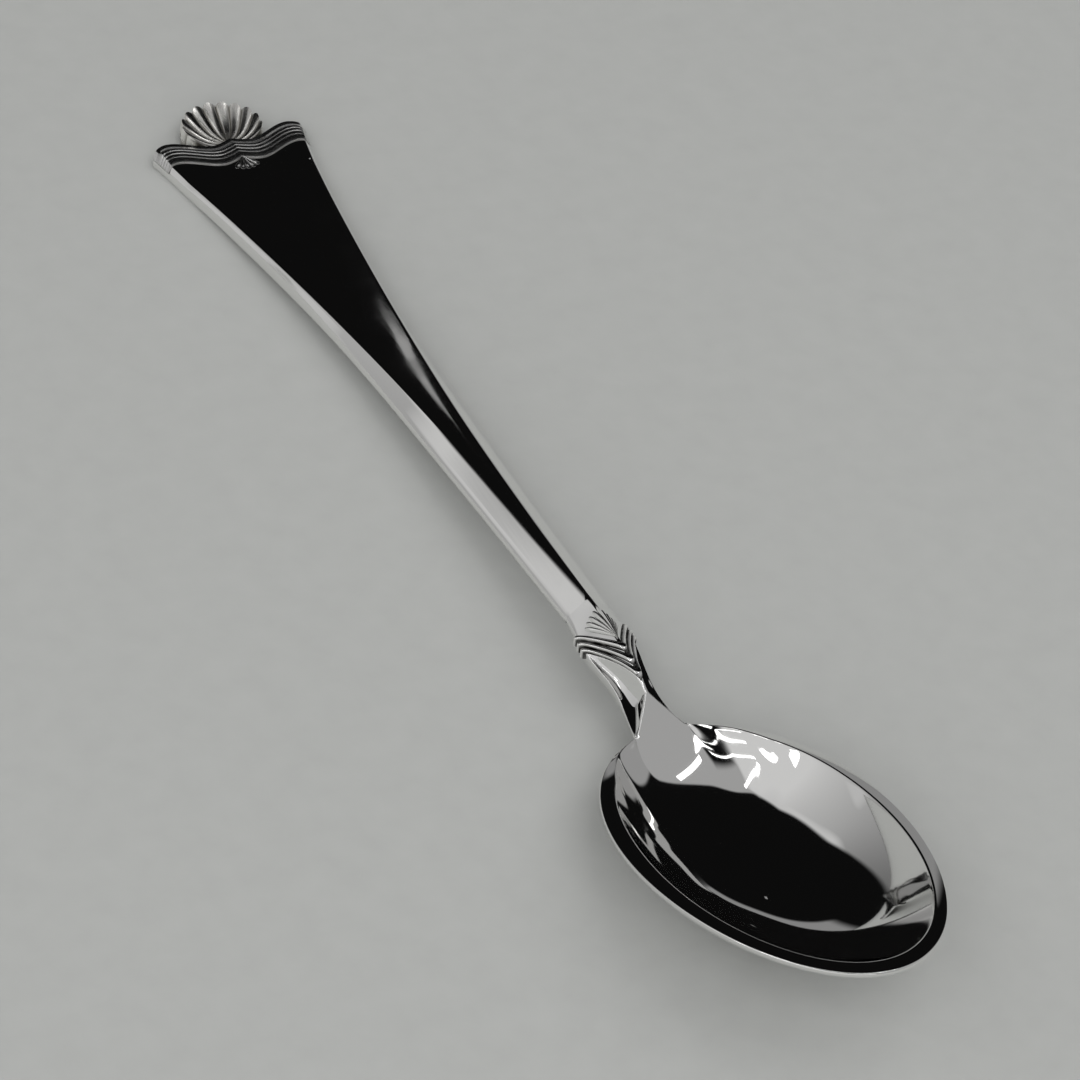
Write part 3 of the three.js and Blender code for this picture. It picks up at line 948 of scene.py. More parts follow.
@dataclass
class Neck(SpoonPiece):
    """The waisted neck with its hollowed flanks."""

    node: ClassVar[str] = "neck"
    layout: SpoonLayout
    bowl: Bowl
    finish: SilverFinish = MIRROR_SILVER
    waist_width: float = 2.9
    waist_at: float = 7.9
    swell_width: float = 3.9
    swell_at: float = 3.6
    crest_height: float = 5.7
    brow_at: float = 8.2
    brow_height: float = 5.15
    lip_heights: tuple[Pair, ...] = ((6.6, 3.7), (9.6, 3.05))
    under_waist: float = 2.0
    face_start: float = 9.5
    collar_side_end: float = 3.8
    collar_crest_end: float = 8.9
    scoop_end_gap: float = 0.2
    scoop_depth: float = 0.8
    edge_lip: float = 0.2
    lip_round: float = 0.14
    stem_lip_round: float = 0.3
    crest_round: float = 0.14
    stem_slope: float = 0.069
    flank_share: float = 0.75
    flank_turn: float = 0.12
    lip_settles: float = 3.0
    rings: int = 110
    under_points: int = 14
    flank_points: int = 24
    face_points: int = 8

    def __post_init__(self) -> None:
        """Draws the curves along the neck."""
        lay = self.layout
        heel = self.bowl.heel_height
        waist = lay.x_neck + self.waist_at
        swell = lay.x_neck + self.swell_at
        stem_top = lay.stem_lift + lay.stem_depth
        stem_side = lay.stem_lift + lay.stem_edge
        self.half = SmoothCurve([
            (lay.x_neck, lay.stem_width / 2),
            (swell, self.swell_width / 2),
            (waist, self.waist_width / 2),
            (lay.x_bowl, lay.joint_width / 2),
        ])
        self.top = SmoothCurve([
            (lay.x_neck, stem_top),
            (swell, self.crest_height),
            (lay.x_neck + self.brow_at, self.brow_height),
            (lay.x_bowl, heel),
        ])
        self.under = SmoothCurve([
            (lay.x_neck, lay.stem_lift),
            (waist, self.under_waist),
            (lay.x_bowl, lay.under_joint),
        ])
        self.side = SmoothCurve([
            (lay.x_neck, stem_side),
            *((lay.x_neck + at, height) for at, height in self.lip_heights),
            (lay.x_bowl, heel - self.edge_lip),
        ])
        self.top.slopes[0] = self.stem_slope
        self.side.slopes[0] = 0.0
        self.half.slopes[0] = 0.0

    def belly(self, x: float, y: float) -> float:
        """Height of the rounded underside.

        Args:
            x: Place along the spoon.
            y: Place across it.

        Returns:
            The height.
        """
        lay = self.layout
        share = (x - lay.x_neck) / lay.neck_length
        side = lerp(lay.under_chamfer, self.bowl.heel_height - self.bowl.edge - lay.under_joint, share**2)
        return self.under(x) + side * (abs(y) / self.half(x)) ** 3

    def face_half(self, x: float) -> float:
        """Half the width of the central face, which opens from a point on the ridge.

        Args:
            x: Place along the spoon.

        Returns:
            The half width.
        """
        lay = self.layout
        share = max(0.0, (x - lay.x_neck - self.face_start) / (lay.neck_length - self.face_start))
        return lerp(lay.ridge_half, lay.joint_width / 2 - self.edge_lip, share**1.1)

    def hollow(self, x: float, up: float) -> float:
        """Depth of the hollow that opens below the collar.

        Args:
            x: Place along the spoon.
            up: Share of the way up the flank.

        Returns:
            The depth.
        """
        start = self.layout.x_neck + lerp(self.collar_side_end, self.collar_crest_end, up**1.2)
        end = self.layout.x_bowl - self.scoop_end_gap
        along = min(max((x - start) / (end - start), 0.0), 1.0)
        return self.scoop_depth * math.sin(math.pi * math.sqrt(along)) * math.sin(math.pi * up)

    def section(self, x: float) -> list[Pair]:
        """Half a section of the neck.

        Args:
            x: Place along the spoon.

        Returns:
            Points from the underside over the hollowed flank to the central face.
        """
        lay = self.layout
        half = self.half(x)
        corner = np.array([half, self.side(x)])
        face = np.array([self.face_half(x), self.top(x)])
        length = float(np.linalg.norm(face - corner))
        settled = smoothstep(x, lay.x_neck, lay.x_neck + self.lip_settles)
        lip_round = lerp(self.stem_lip_round, self.lip_round, settled)
        low = min(lip_round / length, 0.4)
        high = 1 - min(self.crest_round, 0.9 * face[0], 0.4 * length) / length

        def flank(up: float) -> np.ndarray:
            """A point of the hollowed flank."""
            return corner + (face - corner) * up - np.array([0.0, self.hollow(x, up)])

        under = [np.array([half * s, self.belly(x, half * s)]) for s in steps(self.under_points)]
        foot = np.array([half, max(corner[1] - lip_round, lerp(under[-1][1], corner[1], 0.4))])
        inner = np.array([face[0] - length * (1 - high), face[1]])
        path = [*under, *bend(foot, corner, flank(low))]
        path += [flank(lerp(low, high, s)) for s in steps(self.flank_points)[1:-1]]
        path += bend(flank(high), face, inner)
        path += [np.array([inner[0] * (1 - s), face[1]]) for s in steps(self.face_points)[1:]]
        return [(float(p[0]), float(p[1])) for p in path]

    def flank_frame(self, x: float, share: float, side_depth: float) -> tuple[float, float, Pair]:
        """The straight flank and side that the ornaments lie on.

        Args:
            x: Place along the spoon.
            share: Place round the flank, from the ridge (0) to the foot of the side (1).
            side_depth: How far the ornament comes down the side.

        Returns:
            The place across, the height, and the outward direction in the section.
        """
        half = self.half(x)
        drop = self.top(x) - self.side(x)
        corner = self.flank_share
        along = min(share / corner, 1.0)
        down = max(share - corner, 0.0) / (1 - corner)
        turn = smoothstep(share, corner - self.flank_turn, corner + self.flank_turn)
        length = math.hypot(drop, half)
        out = np.array([lerp(drop / length, 1.0, turn), lerp(half / length, 0.0, turn)])
        out /= np.linalg.norm(out)
        return half * along, self.top(x) - drop * along - side_depth * down, (float(out[0]), float(out[1]))

    def build(self) -> bpy.types.Object:
        """Builds the neck's mesh.

        Returns:
            The piece.
        """
        lay = self.layout
        rings = []
        for s in steps(self.rings):
            x = lerp(lay.x_neck, lay.x_bowl, s)
            rings.append(mirrored_ring(x, self.section(x)))
        draft = MeshDraft()
        draft.add_rows(rings, True)
        return draft.piece("neck_visual", sharp=75)


@dataclass
class Collar(Ornament):
    """The saddle of three reeded bands, draped in a V over the neck."""

    node: ClassVar[str] = "collar"
    neck: Neck
    finish: SilverFinish = CHASED_SILVER_WITH_PAINTED_SHADE
    side_start: float = 1.9
    side_span: float = 1.9
    crest_start: float = 5.0
    crest_span: float = 3.9
    bands: int = 3
    web: float = 0.06
    reed_height: float = 0.22
    reed_shape: float = 1.1
    border: float = 0.04
    sunk: float = 0.02
    bed: float = 0.15
    side_depth: float = 0.5
    points_per_band: int = 12
    columns: int = 96

    def stations(self) -> tuple[list[float], list[float]]:
        """Shares of the way across the bands, and round the neck from foot to foot."""
        return steps(self.bands * self.points_per_band), steps(self.columns)

    def top(self, along: float, across: float) -> float:
        """Height of the reeds, falling to the neck at both borders."""
        border = smoothstep(min(along, 1 - along), 0.0, self.border)
        return border * (self.web + self.reed_height * reeds(along, self.bands, self.reed_shape)) - self.sunk

    def recess(self, along: float, across: float) -> float:
        """The grooves between the reeds, and their flanks."""
        # The chased finish's near-black tarnish follows this mask, so the grooves are darkened partly as
        # tarnish and partly as painted shade.
        return max(0.0, min(1.0, 2.1 - 2.4 * reeds(along, self.bands, self.reed_shape)))

    def spot(self, along: float, across: float, height: float) -> Point:
        """A point of the saddle.

        Args:
            along: Share of the way across the bands.
            across: Share of the way round the neck, from foot to foot.
            height: Height over the neck's flank.

        Returns:
            The point.
        """
        span = abs(2 * across - 1)
        crest = self.crest_start + self.crest_span * along
        side = self.side_start + self.side_span * along
        share = max(0.0, 1 - span / self.neck.flank_share) ** 1.2
        x = self.neck.layout.x_neck + lerp(side, crest, share)
        y, z, out = self.neck.flank_frame(x, span, self.side_depth)
        sign = 1.0 if across > 0.5 else -1.0 if across < 0.5 else 0.0
        return x, sign * (y + out[0] * height), z + out[1] * height


@dataclass
class Palmette(Ornament):
    """The small fan of rays that lies over the ridge above the collar."""

    node: ClassVar[str] = "palmette"
    neck: Neck
    collar: Collar
    finish: SilverFinish = CHASED_SILVER_WITH_PAINTED_SHADE
    apex: float = 0.9
    spread: float = 28.0
    rays: int = 9
    thickness: float = 0.05
    ray_height: float = 0.2
    side_reach: float = 0.8
    scallop: float = 0.1
    tip_from: float = 0.82
    sunk: float = 0.02
    bed: float = 0.15
    rows: int = 18
    points_per_ray: int = 12

    def __post_init__(self) -> None:
        """Finds the fan's root, just above the collar, and its length."""
        foot = self.collar.crest_start - self.neck.layout.seat_gap
        self.root = self.neck.layout.x_neck + foot
        self.length = foot - self.apex

    def stations(self) -> tuple[list[float], list[float]]:
        """Shares of the way out from the root, and round the fan."""
        return steps(self.rows), steps(self.rays * self.points_per_ray)

    def spot(self, along: float, across: float, height: float) -> Point:
        """A point of the fan.

        Args:
            along: Share of the way out from the root.
            across: Share of the way round.
            height: Height over the neck.

        Returns:
            The point.
        """
        neck = self.neck
        side = 2 * across - 1
        turn = math.radians(self.spread) * side
        reach = self.length * lerp(1.0, self.side_reach, abs(side) ** 1.5)
        reach *= along * (1 - self.scallop * (1 - reeds(across, self.rays)))
        x, y = self.root - reach * math.cos(turn), reach * math.sin(turn)
        slope = (neck.top(x) - neck.side(x)) / neck.half(x)
        return x, y, neck.top(x) - slope * abs(y) + height

    def top(self, along: float, across: float) -> float:
        """Height of the rays, falling off at the tips.

        Args:
            along: Share of the way out from the root.
            across: Share of the way round.

        Returns:
            The height over the neck.
        """
        tip = 1 - smoothstep(along, self.tip_from, 1.0)
        swell = self.ray_height * reeds(across, self.rays) * math.sin(math.pi * (0.15 + 0.7 * along))
        return lerp(-self.sunk, self.thickness + swell, tip)

    def recess(self, along: float, across: float) -> float:
        """The grooves between the rays."""
        # The chased finish's near-black tarnish follows this mask, so the grooves are darkened partly as
        # tarnish and partly as painted shade.
        return max(0.0, 0.45 - 0.9 * reeds(across, self.rays))


@dataclass
class Handle(SpoonPiece):
    """The flaring handle with its flat panel, bevelled sides and bow-shaped end."""

    node: ClassVar[str] = "handle"
    layout: SpoonLayout
    finish: SilverFinish = STEM_SILVER
    end_width: float = 13.6
    outline_widths: tuple[Pair, ...] = ((12.6, 9.7), (30.6, 5.9), (50.6, 4.3))
    end_panel_width: float = 12.8
    panel_widths: tuple[Pair, ...] = ((13.1, 8.8), (30.6, 4.7), (47.6, 1.9))
    end_thickness: float = 1.3
    end_edge: float = 0.7
    rest_length: float = 5.6
    bow_dip: float = 1.4
    bow_cusp: float = 0.6
    bow_valley: float = 1.6
    bow_peak: float = 5.3
    bow_corner_drop: float = 0.95
    bow_fade: float = 9.0
    side_round: float = 0.3
    panel_round: float = 0.16
    panel_crown: float = 0.03
    crown_from: float = 5.0
    crown_full: float = 20.0
    rings: int = 160
    ring_bias: float = 1.15

    def __post_init__(self) -> None:
        """Draws the outline and the panel's border."""
        lay = self.layout
        start = lay.x_shoulder
        self.half = SmoothCurve([
            (start, self.end_width / 2),
            *((start + at, width / 2) for at, width in self.outline_widths),
            (lay.x_neck, lay.stem_width / 2),
        ])
        self.panel = SmoothCurve([
            (start, self.end_panel_width / 2),
            *((start + at, width / 2) for at, width in self.panel_widths),
            (lay.x_neck, lay.ridge_half),
        ])

    def lift_share(self, x: float) -> float:
        """How far along the rising part of the handle a place lies, from 0 to 1."""
        rising = self.layout.handle_length - self.rest_length
        return max(0.0, (x - self.layout.x_shoulder - self.rest_length) / rising)

    def heights(self, x: float) -> tuple[float, float, float]:
        """Heights along the handle.

        Args:
            x: Place along the spoon.

        Returns:
            The underside, the foot of the bevel and the panel.
        """
        lift = self.lift_share(x)
        under = self.layout.stem_lift * lift
        side = under + lerp(self.end_edge, self.layout.stem_edge, lift)
        return under, side, under + lerp(self.end_thickness, self.layout.stem_depth, lift)

    def bow(self, y: float) -> float:
        """The bow-shaped outline of the handle end.

        Args:
            y: Place across the handle.

        Returns:
            Where the handle starts there, along the spoon.
        """
        off = abs(y)
        if off > self.bow_peak:
            beyond = (off - self.bow_peak) / (self.end_width / 2 - self.bow_peak)
            return self.layout.x_shoulder + self.bow_corner_drop * beyond**2
        cusp = self.bow_cusp * max(0.0, 1 - off / self.bow_valley) ** 1.5
        dip = self.bow_dip * (1 - smoothstep(off, self.bow_valley, self.bow_peak))
        return self.layout.x_shoulder + dip - cusp

    def surface(self, x: float, y: float) -> float:
        """Height of the upper side, on the panel or on a bevel.

        Args:
            x: Place along the spoon.
            y: Place across it.

        Returns:
            The height.
        """
        _, side, top = self.heights(x)
        panel, half = self.panel(x), self.half(x)
        return lerp(top, side, min(max((abs(y) - panel) / (half - panel), 0.0), 1.0))

    def section(self, x: float) -> list[Pair]:
        """Half a section of the handle.

        Args:
            x: Place along the spoon.

        Returns:
            Points from the underside over the side and the bevel to the middle of the panel.
        """
        half, panel = self.half(x), self.panel(x)
        under, side, top = self.heights(x)
        path = rounded_path([
            Corner(0, under, 0, 10),
            Corner(half, under, self.layout.under_chamfer, 3),
            Corner(half, side, self.side_round, 6),
            Corner(panel, top, self.panel_round, 14),
            Corner(0, top),
        ], arc=5)
        crown = self.panel_crown * smoothstep(x - self.layout.x_shoulder, self.crown_from, self.crown_full)
        crowned = []
        for y, z in path:
            on_panel = z > side and y < panel
            crowned.append((y, z + crown * (1 - (y / panel) ** 2) if on_panel else z))
        return crowned

    def build(self) -> bpy.types.Object:
        """Builds the handle's mesh, with the bow cut square through its end.

        Returns:
            The piece.
        """
        lay = self.layout
        rings = []
        for s in steps(self.rings):
            x = lerp(lay.x_shoulder, lay.x_neck, s**self.ring_bias)
            fade = max(0.0, 1 - (x - lay.x_shoulder) / self.bow_fade) ** 2
            ring = mirrored_ring(x, self.section(x))
            rings.append([(px + fade * (self.bow(py) - lay.x_shoulder), py, pz) for px, py, pz in ring])
        draft = MeshDraft()
        start = draft.add_rows(rings, True)
        count = len(rings[0])
        crown, reach = count // 2, count // 4
        for k in range(-reach, reach):
            near, far = (k + count) % count, (k + 1 + count) % count
            wall = (start + near, start + far, start + crown - k - 1, start + crown - k)
            if len(set(wall)) > 2:
                draft.faces.append(tuple(dict.fromkeys(wall)))
        return draft.piece("handle_visual", sharp=60)


@dataclass
class EndMoulding(Ornament):
    """The reeded moulding that follows the bow across the handle end, over both bevels."""

    node: ClassVar[str] = "end_moulding"
    handle: Handle
    finish: SilverFinish = WORN_AND_SHADED_SILVER
    width: float = 2.8
    lip: float = 0.1
    height: float = 0.3
    cove_width: float = 0.95
    reed_width: float = 0.38
    reed_height: float = 0.045
    toe: float = 0.06
    bead_width: float = 0.3
    bead_height: float = 0.03
    reed_count: int = 3
    last_reed: float = 0.6
    side_gap: float = 0.04
    bevel_from: float = 0.9
    bevel_loss: float = 0.8
    cove_from: float = 0.4
    toe_run: float = 0.5
    toe_tarnish: float = 0.5
    bed: float = 0.1
    rows: int = 72
    columns: int = 160

    def profile(self, inward: float) -> float:
        """Height of the moulding at a distance from its outer edge.

        Args:
            inward: Distance from the bow.

        Returns:
            The height over the panel.
        """
        rise = smoothstep(inward / self.cove_width, self.cove_from, 1.0)
        cove = lerp(self.lip, self.height, rise)
        slope = max(0.0, (inward - self.cove_width) / (self.width - self.cove_width))
        bed = lerp(cove, self.toe, slope)
        bead = max(0.0, 1 - (self.width - inward) / self.bead_width)
        bed += self.bead_height * reeds(bead, 1)
        place = (inward - self.cove_width) / self.reed_width
        if not 0 < place < self.reed_count:
            return bed
        size = self.last_reed if place > self.reed_count - 1 else 1.0
        return bed + self.reed_height * size * reeds(place, 1)

    def stations(self) -> tuple[list[float], list[float]]:
        """Distances from the bow, and shares of the way across the handle."""
        return [self.width * s for s in steps(self.rows)], steps(self.columns)

    def spot(self, along: float, across: float, height: float) -> Point:
        """A point of the moulding.

        Args:
            along: Distance from the bow.
            across: Share of the way across the handle.
            height: Height over the handle, less on the bevels.

        Returns:
            The point.
        """
        handle, side = self.handle, 2 * across - 1
        x = handle.layout.x_shoulder + along
        y = (handle.half(x) - self.side_gap) * side
        fall = 1 - self.bevel_loss * smoothstep(abs(side), self.bevel_from, 1.0)
        return handle.bow(y) + along, y, handle.surface(x, y) + height * fall

    def top(self, along: float, across: float) -> float:
        """Height of the moulding's profile."""
        return self.profile(along)

    def recess(self, along: float, across: float) -> float:
        """The grooves between the reeds, and the inner toe.

        Args:
            along: Distance from the bow.
            across: Share of the way across the handle; not used.

        Returns:
            A share from 0 to 1.
        """
        place = (along - self.cove_width) / self.reed_width
        groove = max(0.0, 1 - 1.6 * reeds(place, 1)) if 0 < place < self.reed_count + 0.2 else 0.0
        return max(groove, self.toe_tarnish * smoothstep(along, self.width - self.toe_run, self.width))


@dataclass
class PendantLeaf(Ornament):
    """The small ribbed leaf that hangs from the cusp of the moulding."""

    node: ClassVar[str] = "pendant_leaf"
    moulding: EndMoulding
    finish: SilverFinish = WORN_AND_SHADED_SILVER
    length: float = 1.7
    spread: float = 45.0
    ribs: int = 5
    thickness: float = 0.14
    scallop: float = 0.12
    tip_from: float = 0.7
    raised: float = 0.01
    groove_height: float = 0.35
    bed: float = 0.05
    rows: int = 14
    points_per_rib: int = 12

    def stations(self) -> tuple[list[float], list[float]]:
        """Shares of the way out from the moulding, and round the leaf."""
        return steps(self.rows), steps(self.ribs * self.points_per_rib)

    def spot(self, along: float, across: float, height: float) -> Point:
        """A point of the leaf.

        Args:
            along: Share of the way out from the moulding.
            across: Share of the way round.
            height: Height over the panel.

        Returns:
            The point.
        """
        handle = self.moulding.handle
        root = handle.bow(0) + self.moulding.width
        turn = math.radians(self.spread) * (2 * across - 1)
        reach = self.length * along * (1 - self.scallop * (1 - reeds(across, self.ribs)))
        return root + reach * math.cos(turn), reach * math.sin(turn), handle.end_thickness + height

    def top(self, along: float, across: float) -> float:
        """Height of the ribs, falling to the panel at their tips.

        Args:
            along: Share of the way out from the moulding.
            across: Share of the way round.

        Returns:
            The height over the panel.
        """
        tip = 1 - smoothstep(along, self.tip_from, 1.0)
        rib = reeds(across, self.ribs) * math.sin(math.pi * (0.2 + 0.6 * along))
        swell = lerp(self.groove_height, 1.0, rib)
        return self.thickness * swell * tip + self.raised

    def recess(self, along: float, across: float) -> float:
        """The grooves between the ribs."""
        return max(0.0, 1 - 1.5 * reeds(across, self.ribs))


@dataclass
class ShellFinial(Ornament):
    """The scallop shell in the notch of the handle end, with ribs that rise to blunt tips."""

    node: ClassVar[str] = "shell_finial"
    handle: Handle
    finish: SilverFinish = CAST_SILVER
    half_width: float = 3.1
    ribs: int = 11
    back: float = 0.25
    bed: float = 0.0
    hinge: float = 0.35
    hinge_radius: float = 0.05
    crown: float = 1.3
    rise_from: float = 0.2
    blunt_from: float = 0.96
    blunt_height: float = 0.45
    rib_height: float = 0.32
    scallop: float = 0.09
    hinge_gap: float = 0.36
    rows: int = 48
    points_per_rib: int = 14

    def stations(self) -> tuple[list[float], list[float]]:
        """Shares of the way out from the hinge, and round the shell."""
        return steps(self.rows), steps(self.ribs * self.points_per_rib)

    def spot(self, along: float, across: float, height: float) -> Point:
        """A point of the shell.

        Args:
            along: Share of the way out from the hinge.
            across: Share of the way round.
            height: Height over the shell's flat back.

        Returns:
            The point.
        """
        bow, layout = self.handle.bow, self.handle.layout
        root = bow(0) - self.hinge_gap
        side = 2 * across - 1
        reach = lerp(root - layout.x_shell, self.half_width, side**2) * lerp(self.hinge_radius, 1.0, along)
        reach *= 1 - self.scallop * (1 - reeds(across, self.ribs)) * along
        turn = side * math.acos((bow(0) - bow(reach)) / reach)
        return root - reach * math.cos(turn), reach * math.sin(turn), self.back + height

    def top(self, along: float, across: float) -> float:
        """Height of the ribs, rounded down at their tips.

        Args:
            along: Share of the way out from the hinge.
            across: Share of the way round.

        Returns:
            The height over the shell's flat back.
        """
        rise = max(0.0, (along - self.rise_from) / (1 - self.rise_from)) ** 1.5
        tip = math.sqrt(max(0.0, 1 - smoothstep(along, self.blunt_from, 1.0) ** 2))
        rib = self.rib_height * reeds(across, self.ribs) * math.sqrt(along) * tip
        return lerp(self.hinge, self.crown, rise) * lerp(self.blunt_height, 1.0, tip) + rib

    def recess(self, along: float, across: float) -> float:
        """The grooves between the ribs, and the hinge."""
        return max(1 - 1.35 * reeds(across, self.ribs), 1 - 3 * along, 0.0)


# The studio


ALONG: Point = (1.0, 0.0, 0.0)
ACROSS: Point = (0.0, 1.0, 0.0)
UP: Point = (0.0, 0.0, 1.0)


@dataclass(frozen=True)
class StudioLamp:
    """A soft rectangular lamp, with its sizes in metres."""

    name: str
    place: Point
    size: Pair
    radiance: float
    aim: Point = (0.0, 0.0, 0.0)
    turn: float = 0.0
    shows_in_metal: bool = True

    def build(self) -> bpy.types.Object:
        """Makes the lamp and points it.

        Returns:
            The lamp.
        """
        lamp = bpy.data.lights.new(self.name, "AREA")
        lamp.shape = "RECTANGLE"
        lamp.size, lamp.size_y = self.size
        lamp.energy = self.radiance * math.pi * self.size[0] * self.size[1]
        holder = bpy.data.objects.new(self.name, lamp)
        way = (Vector(self.place) - Vector(self.aim)).to_track_quat("Z", "Y")
        spin = Quaternion((0.0, 0.0, 1.0), math.radians(self.turn))
        holder.location = self.place
        holder.rotation_euler = (way @ spin).to_euler()
        holder.visible_glossy = self.shows_in_metal
        bpy.context.scene.collection.objects.link(holder)
        return holder

    @classmethod
    def strip(
        cls, name: str, start: Pair, end: Pair, width: float, radiance: float = 2.2, height: float = 1.3
    ) -> "StudioLamp":
        """A narrow lamp that faces straight down.

        Args:
            name: Name of the lamp.
            start: One end in plan.
            end: The other end.
            width: Width of the strip.
            radiance: Brightness of its face.
            height: Height over the floor.

        Returns:
            The lamp.
        """
        run = (end[0] - start[0], end[1] - start[1])
        middle = ((start[0] + end[0]) / 2, (start[1] + end[1]) / 2)
        turn = math.degrees(math.atan2(run[1], run[0]))
        size = (math.hypot(*run), width)
        return cls(name, (*middle, height), size, radiance, aim=(*middle, 0.0), turn=turn)


class Blend(Enum):
    """How light fades across an edge of the room."""

    SOFT = "SMOOTHSTEP"
    EVEN = "LINEAR"


@dataclass(frozen=True)
class RoomEdge:
    """An edge across the room: how far a direction leans to an aim where it is dark and where lit."""

    aim: Point
    dark: float
    lit: float
    blend: Blend = Blend.SOFT


@dataclass(frozen=True)
class RoomPatch:
    """A lit part of the room, closed in by its edges."""

    name: str
    level: float
    edges: tuple[RoomEdge, ...]


HANDLE_END = RoomEdge((1.0, -0.223, 0.0), -0.365, -0.345)
CLEAR_OF_FAR_END = (RoomEdge((-0.807, 0.0975, 0.582), 0.79, 0.76), RoomEdge(ACROSS, -0.05, -0.15))
BELOW_CEILING = RoomEdge(UP, 0.88, 0.78)
ROOM = (
    RoomPatch("ceiling_far_half", 0.36, (RoomEdge(ACROSS, -0.2, -0.05), HANDLE_END)),
    RoomPatch("ceiling_over_handle", 0.36, (RoomEdge(ALONG, -0.12, -0.22), HANDLE_END)),
    RoomPatch("near_side", 0.3, (RoomEdge((1.0, 0.5, 0.0), 0.095, 0.13), RoomEdge(ACROSS, 0.42, 0.52))),
    RoomPatch(
        "wall_glow",
        0.56,
        (*CLEAR_OF_FAR_END, BELOW_CEILING, RoomEdge(UP, 0.14, 0.4), RoomEdge(ACROSS, -0.74, -0.56)),
    ),
    RoomPatch("wall", 0.62, (*CLEAR_OF_FAR_END, BELOW_CEILING, RoomEdge(ALONG, -1.15, -0.41, Blend.EVEN))),
    RoomPatch("skirting", 0.5, (*CLEAR_OF_FAR_END, RoomEdge(UP, 0.2, 0.05), RoomEdge(ALONG, -0.8, -0.66))),
    RoomPatch(
        "far_side",
        0.24,
        (RoomEdge((0.0, -0.3, 1.0), 0.14, 0.1), RoomEdge(ALONG, -0.64, -0.7), RoomEdge(ACROSS, 0.1, 0.18)),
    ),
)
LAMPS = (
    StudioLamp("overhead_softbox", (0.35, 0.75, 1.6), (1.8, 1.8), 1.15, shows_in_metal=False),
    StudioLamp("fill_softbox", (-0.7, -0.8, 1.7), (2.0, 2.0), 0.3, shows_in_metal=False),
    StudioLamp("front_softbox", (1.1, -0.55, 0.7), (1.6, 1.6), 3.1, shows_in_metal=False),
    StudioLamp.strip("tube_first", (-0.3, 0.6), (-0.12, 0.25), 0.055),
    StudioLamp.strip("tube_corner", (-0.04, 0.3), (0.04, -0.58), 0.08),
    StudioLamp.strip("tube_second", (-0.06, -0.4), (-0.16, -0.95), 0.035),
    StudioLamp.strip("tube_third", (-0.16, -0.93), (-0.55, -1.83), 0.035),
    StudioLamp.strip("tube_return", (-0.57, -0.58), (-0.6, -1.72), 0.05),
    StudioLamp.strip("window_sill", (0.09, -0.69), (-0.4, -2.1), 0.025),
    StudioLamp.strip("window_pane", (-0.95, -2.95), (-1.2, -3.85), 0.3),
    StudioLamp.strip("far_lamp", (-2.24, 1.01), (-2.1, 0.945), 0.045, radiance=0.3),
)


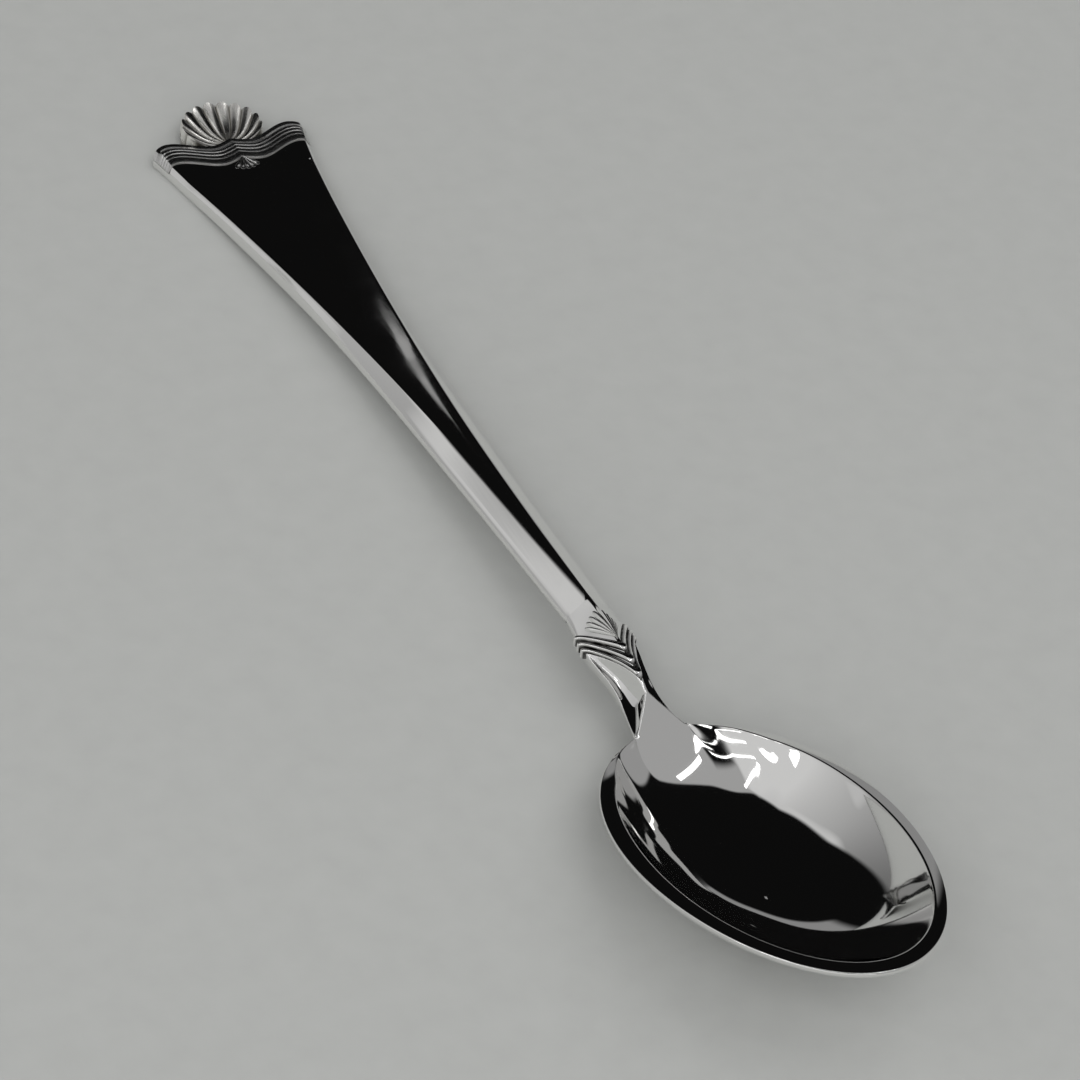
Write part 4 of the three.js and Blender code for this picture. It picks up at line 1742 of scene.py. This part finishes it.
@dataclass
class Studio:
    """Pale floor, soft light, the room that the silver mirrors, and the camera."""

    floor_size: float = 8.0
    floor_colour: Colour = (0.372, 0.377, 0.366)
    floor_mottle: float = 0.05
    floor_grain: float = 420.0
    floor_roughness: float = 0.75
    floor_shine: float = 0.2
    dark: float = 0.004
    room: tuple[RoomPatch, ...] = ROOM
    lamps: tuple[StudioLamp, ...] = LAMPS
    focal_length: float = 150.0
    sensor_width: float = 36.0
    clip_start: float = 0.01
    pitch: float = 38.57
    roll: float = 4.86
    yaw: float = -62.17
    target: Pair = (2.85, 0.54)
    distance: float = 336.0

    def build(self) -> None:
        """Sets up the whole stage."""
        bpy.context.scene.view_settings.view_transform = "Standard"
        self._floor()
        self._room()
        self._camera()
        for lamp in self.lamps:
            lamp.build()

    def _floor(self) -> None:
        """Lays a plain matt floor with a barely visible mottle."""
        half = self.floor_size / 2
        corners = [(-half, -half, 0), (half, -half, 0), (half, half, 0), (-half, half, 0)]
        mesh = bpy.data.meshes.new("floor")
        mesh.from_pydata(corners, [], [(0, 1, 2, 3)])
        floor = bpy.data.objects.new("floor", mesh)
        bpy.context.scene.collection.objects.link(floor)
        material = bpy.data.materials.new("pale_floor")
        material.use_nodes = True
        tree = material.node_tree
        surface = tree.nodes["Principled BSDF"]
        surface.inputs["Roughness"].default_value = self.floor_roughness
        surface.inputs["Specular IOR Level"].default_value = self.floor_shine
        place = add_node(tree, "ShaderNodeTexCoord", {})
        mottle = add_node(
            tree,
            "ShaderNodeTexNoise",
            {"Vector": place.outputs["Object"], "Scale": self.floor_grain, "Detail": 6.0},
        )
        shades = (1 - self.floor_mottle, 1 + self.floor_mottle)
        deep, pale = ((*(shade * c for c in self.floor_colour), 1.0) for shade in shades)
        tint = add_node(
            tree,
            "ShaderNodeMix",
            {"Factor": mottle.outputs["Fac"], "A": deep, "B": pale},
            data_type="RGBA",
        )
        tree.links.new(tint.outputs["Result"], surface.inputs["Base Color"])
        mesh.materials.append(material)

    def _room(self) -> None:
        """Paints the room that the silver mirrors: pale ceiling and walls, and a dark far end."""
        world = bpy.data.worlds.new("room")
        bpy.context.scene.world = world
        world.use_nodes = True
        tree = world.node_tree
        way = add_node(tree, "ShaderNodeTexCoord", {}).outputs["Generated"]

        def join(operation: str, first: object, second: object) -> bpy.types.NodeSocket:
            """Two brightnesses, or sockets that give them, put together."""
            node = add_node(tree, "ShaderNodeMath", {0: first, 1: second}, operation=operation)
            return node.outputs["Value"]

        bright: object = 0.0
        for patch in self.room:
            light: object = patch.level
            for edge in patch.edges:
                lean = add_node(tree, "ShaderNodeVectorMath", {0: way, 1: edge.aim}, operation="DOT_PRODUCT")
                step = add_node(
                    tree,
                    "ShaderNodeMapRange",
                    {"Value": lean.outputs["Value"], "From Min": edge.dark, "From Max": edge.lit},
                    interpolation_type=edge.blend.value,
                )
                light = join("MULTIPLY", light, step.outputs["Result"])
            bright = join("MAXIMUM", bright, light)
        background = tree.nodes["Background"]
        background.inputs["Color"].default_value = (1.0, 1.0, 1.0, 1.0)
        tree.links.new(join("ADD", bright, self.dark), background.inputs["Strength"])

    def _camera(self) -> None:
        """Sets the camera where the photograph was taken from."""
        pitch, roll, yaw = (math.radians(a) for a in (self.pitch, self.roll, self.yaw))
        turn = Matrix.Rotation(-yaw, 3, "Z")
        right = turn @ Vector((1, 0, 0))
        ahead = turn @ Vector((0, math.cos(pitch), -math.sin(pitch)))
        up = turn @ Vector((0, math.sin(pitch), math.cos(pitch)))
        aim = turn @ Vector((self.target[0], self.target[1], 0.0))
        side = right * math.cos(roll) + up * math.sin(roll)
        top = up * math.cos(roll) - right * math.sin(roll)
        data = bpy.data.cameras.new("photo_camera")
        data.sensor_width = self.sensor_width
        data.lens = self.focal_length
        data.clip_start = self.clip_start
        camera = bpy.data.objects.new("photo_camera", data)
        place = Matrix((side, top, -ahead)).transposed().to_4x4()
        place.translation = (aim - ahead * self.distance) * MM
        camera.matrix_world = place
        bpy.context.scene.collection.objects.link(camera)
        bpy.context.scene.camera = camera


def main() -> None:
    """Builds the spoon and its stage."""
    logging.basicConfig(level=logging.INFO, format="%(name)s: %(message)s")
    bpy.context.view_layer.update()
    groups = NodeGroups()
    finishes = (MIRROR_SILVER, STEM_SILVER, CHASED_SILVER_WITH_PAINTED_SHADE, WORN_AND_SHADED_SILVER, CAST_SILVER)
    materials = {finish.name: finish.material(groups) for finish in finishes}

    layout = SpoonLayout()
    bowl = Bowl(layout)
    neck = Neck(layout, bowl)
    collar = Collar(neck)
    palmette = Palmette(neck, collar)
    handle = Handle(layout)
    moulding = EndMoulding(handle)
    leaf = PendantLeaf(moulding)
    shell = ShellFinial(handle)

    parts: tuple[SpoonPiece, ...] = (bowl, neck, collar, palmette, handle, moulding, leaf, shell)
    pieces = {part.node: part.build() for part in parts}
    blend_seam(pieces["bowl"], pieces["neck"], layout.x_bowl)
    blend_seam(pieces["neck"], pieces["handle"], layout.x_neck)
    for part in parts:
        part.dress(pieces[part.node], materials)
    Studio().build()


if __name__ == "__main__":
    main()
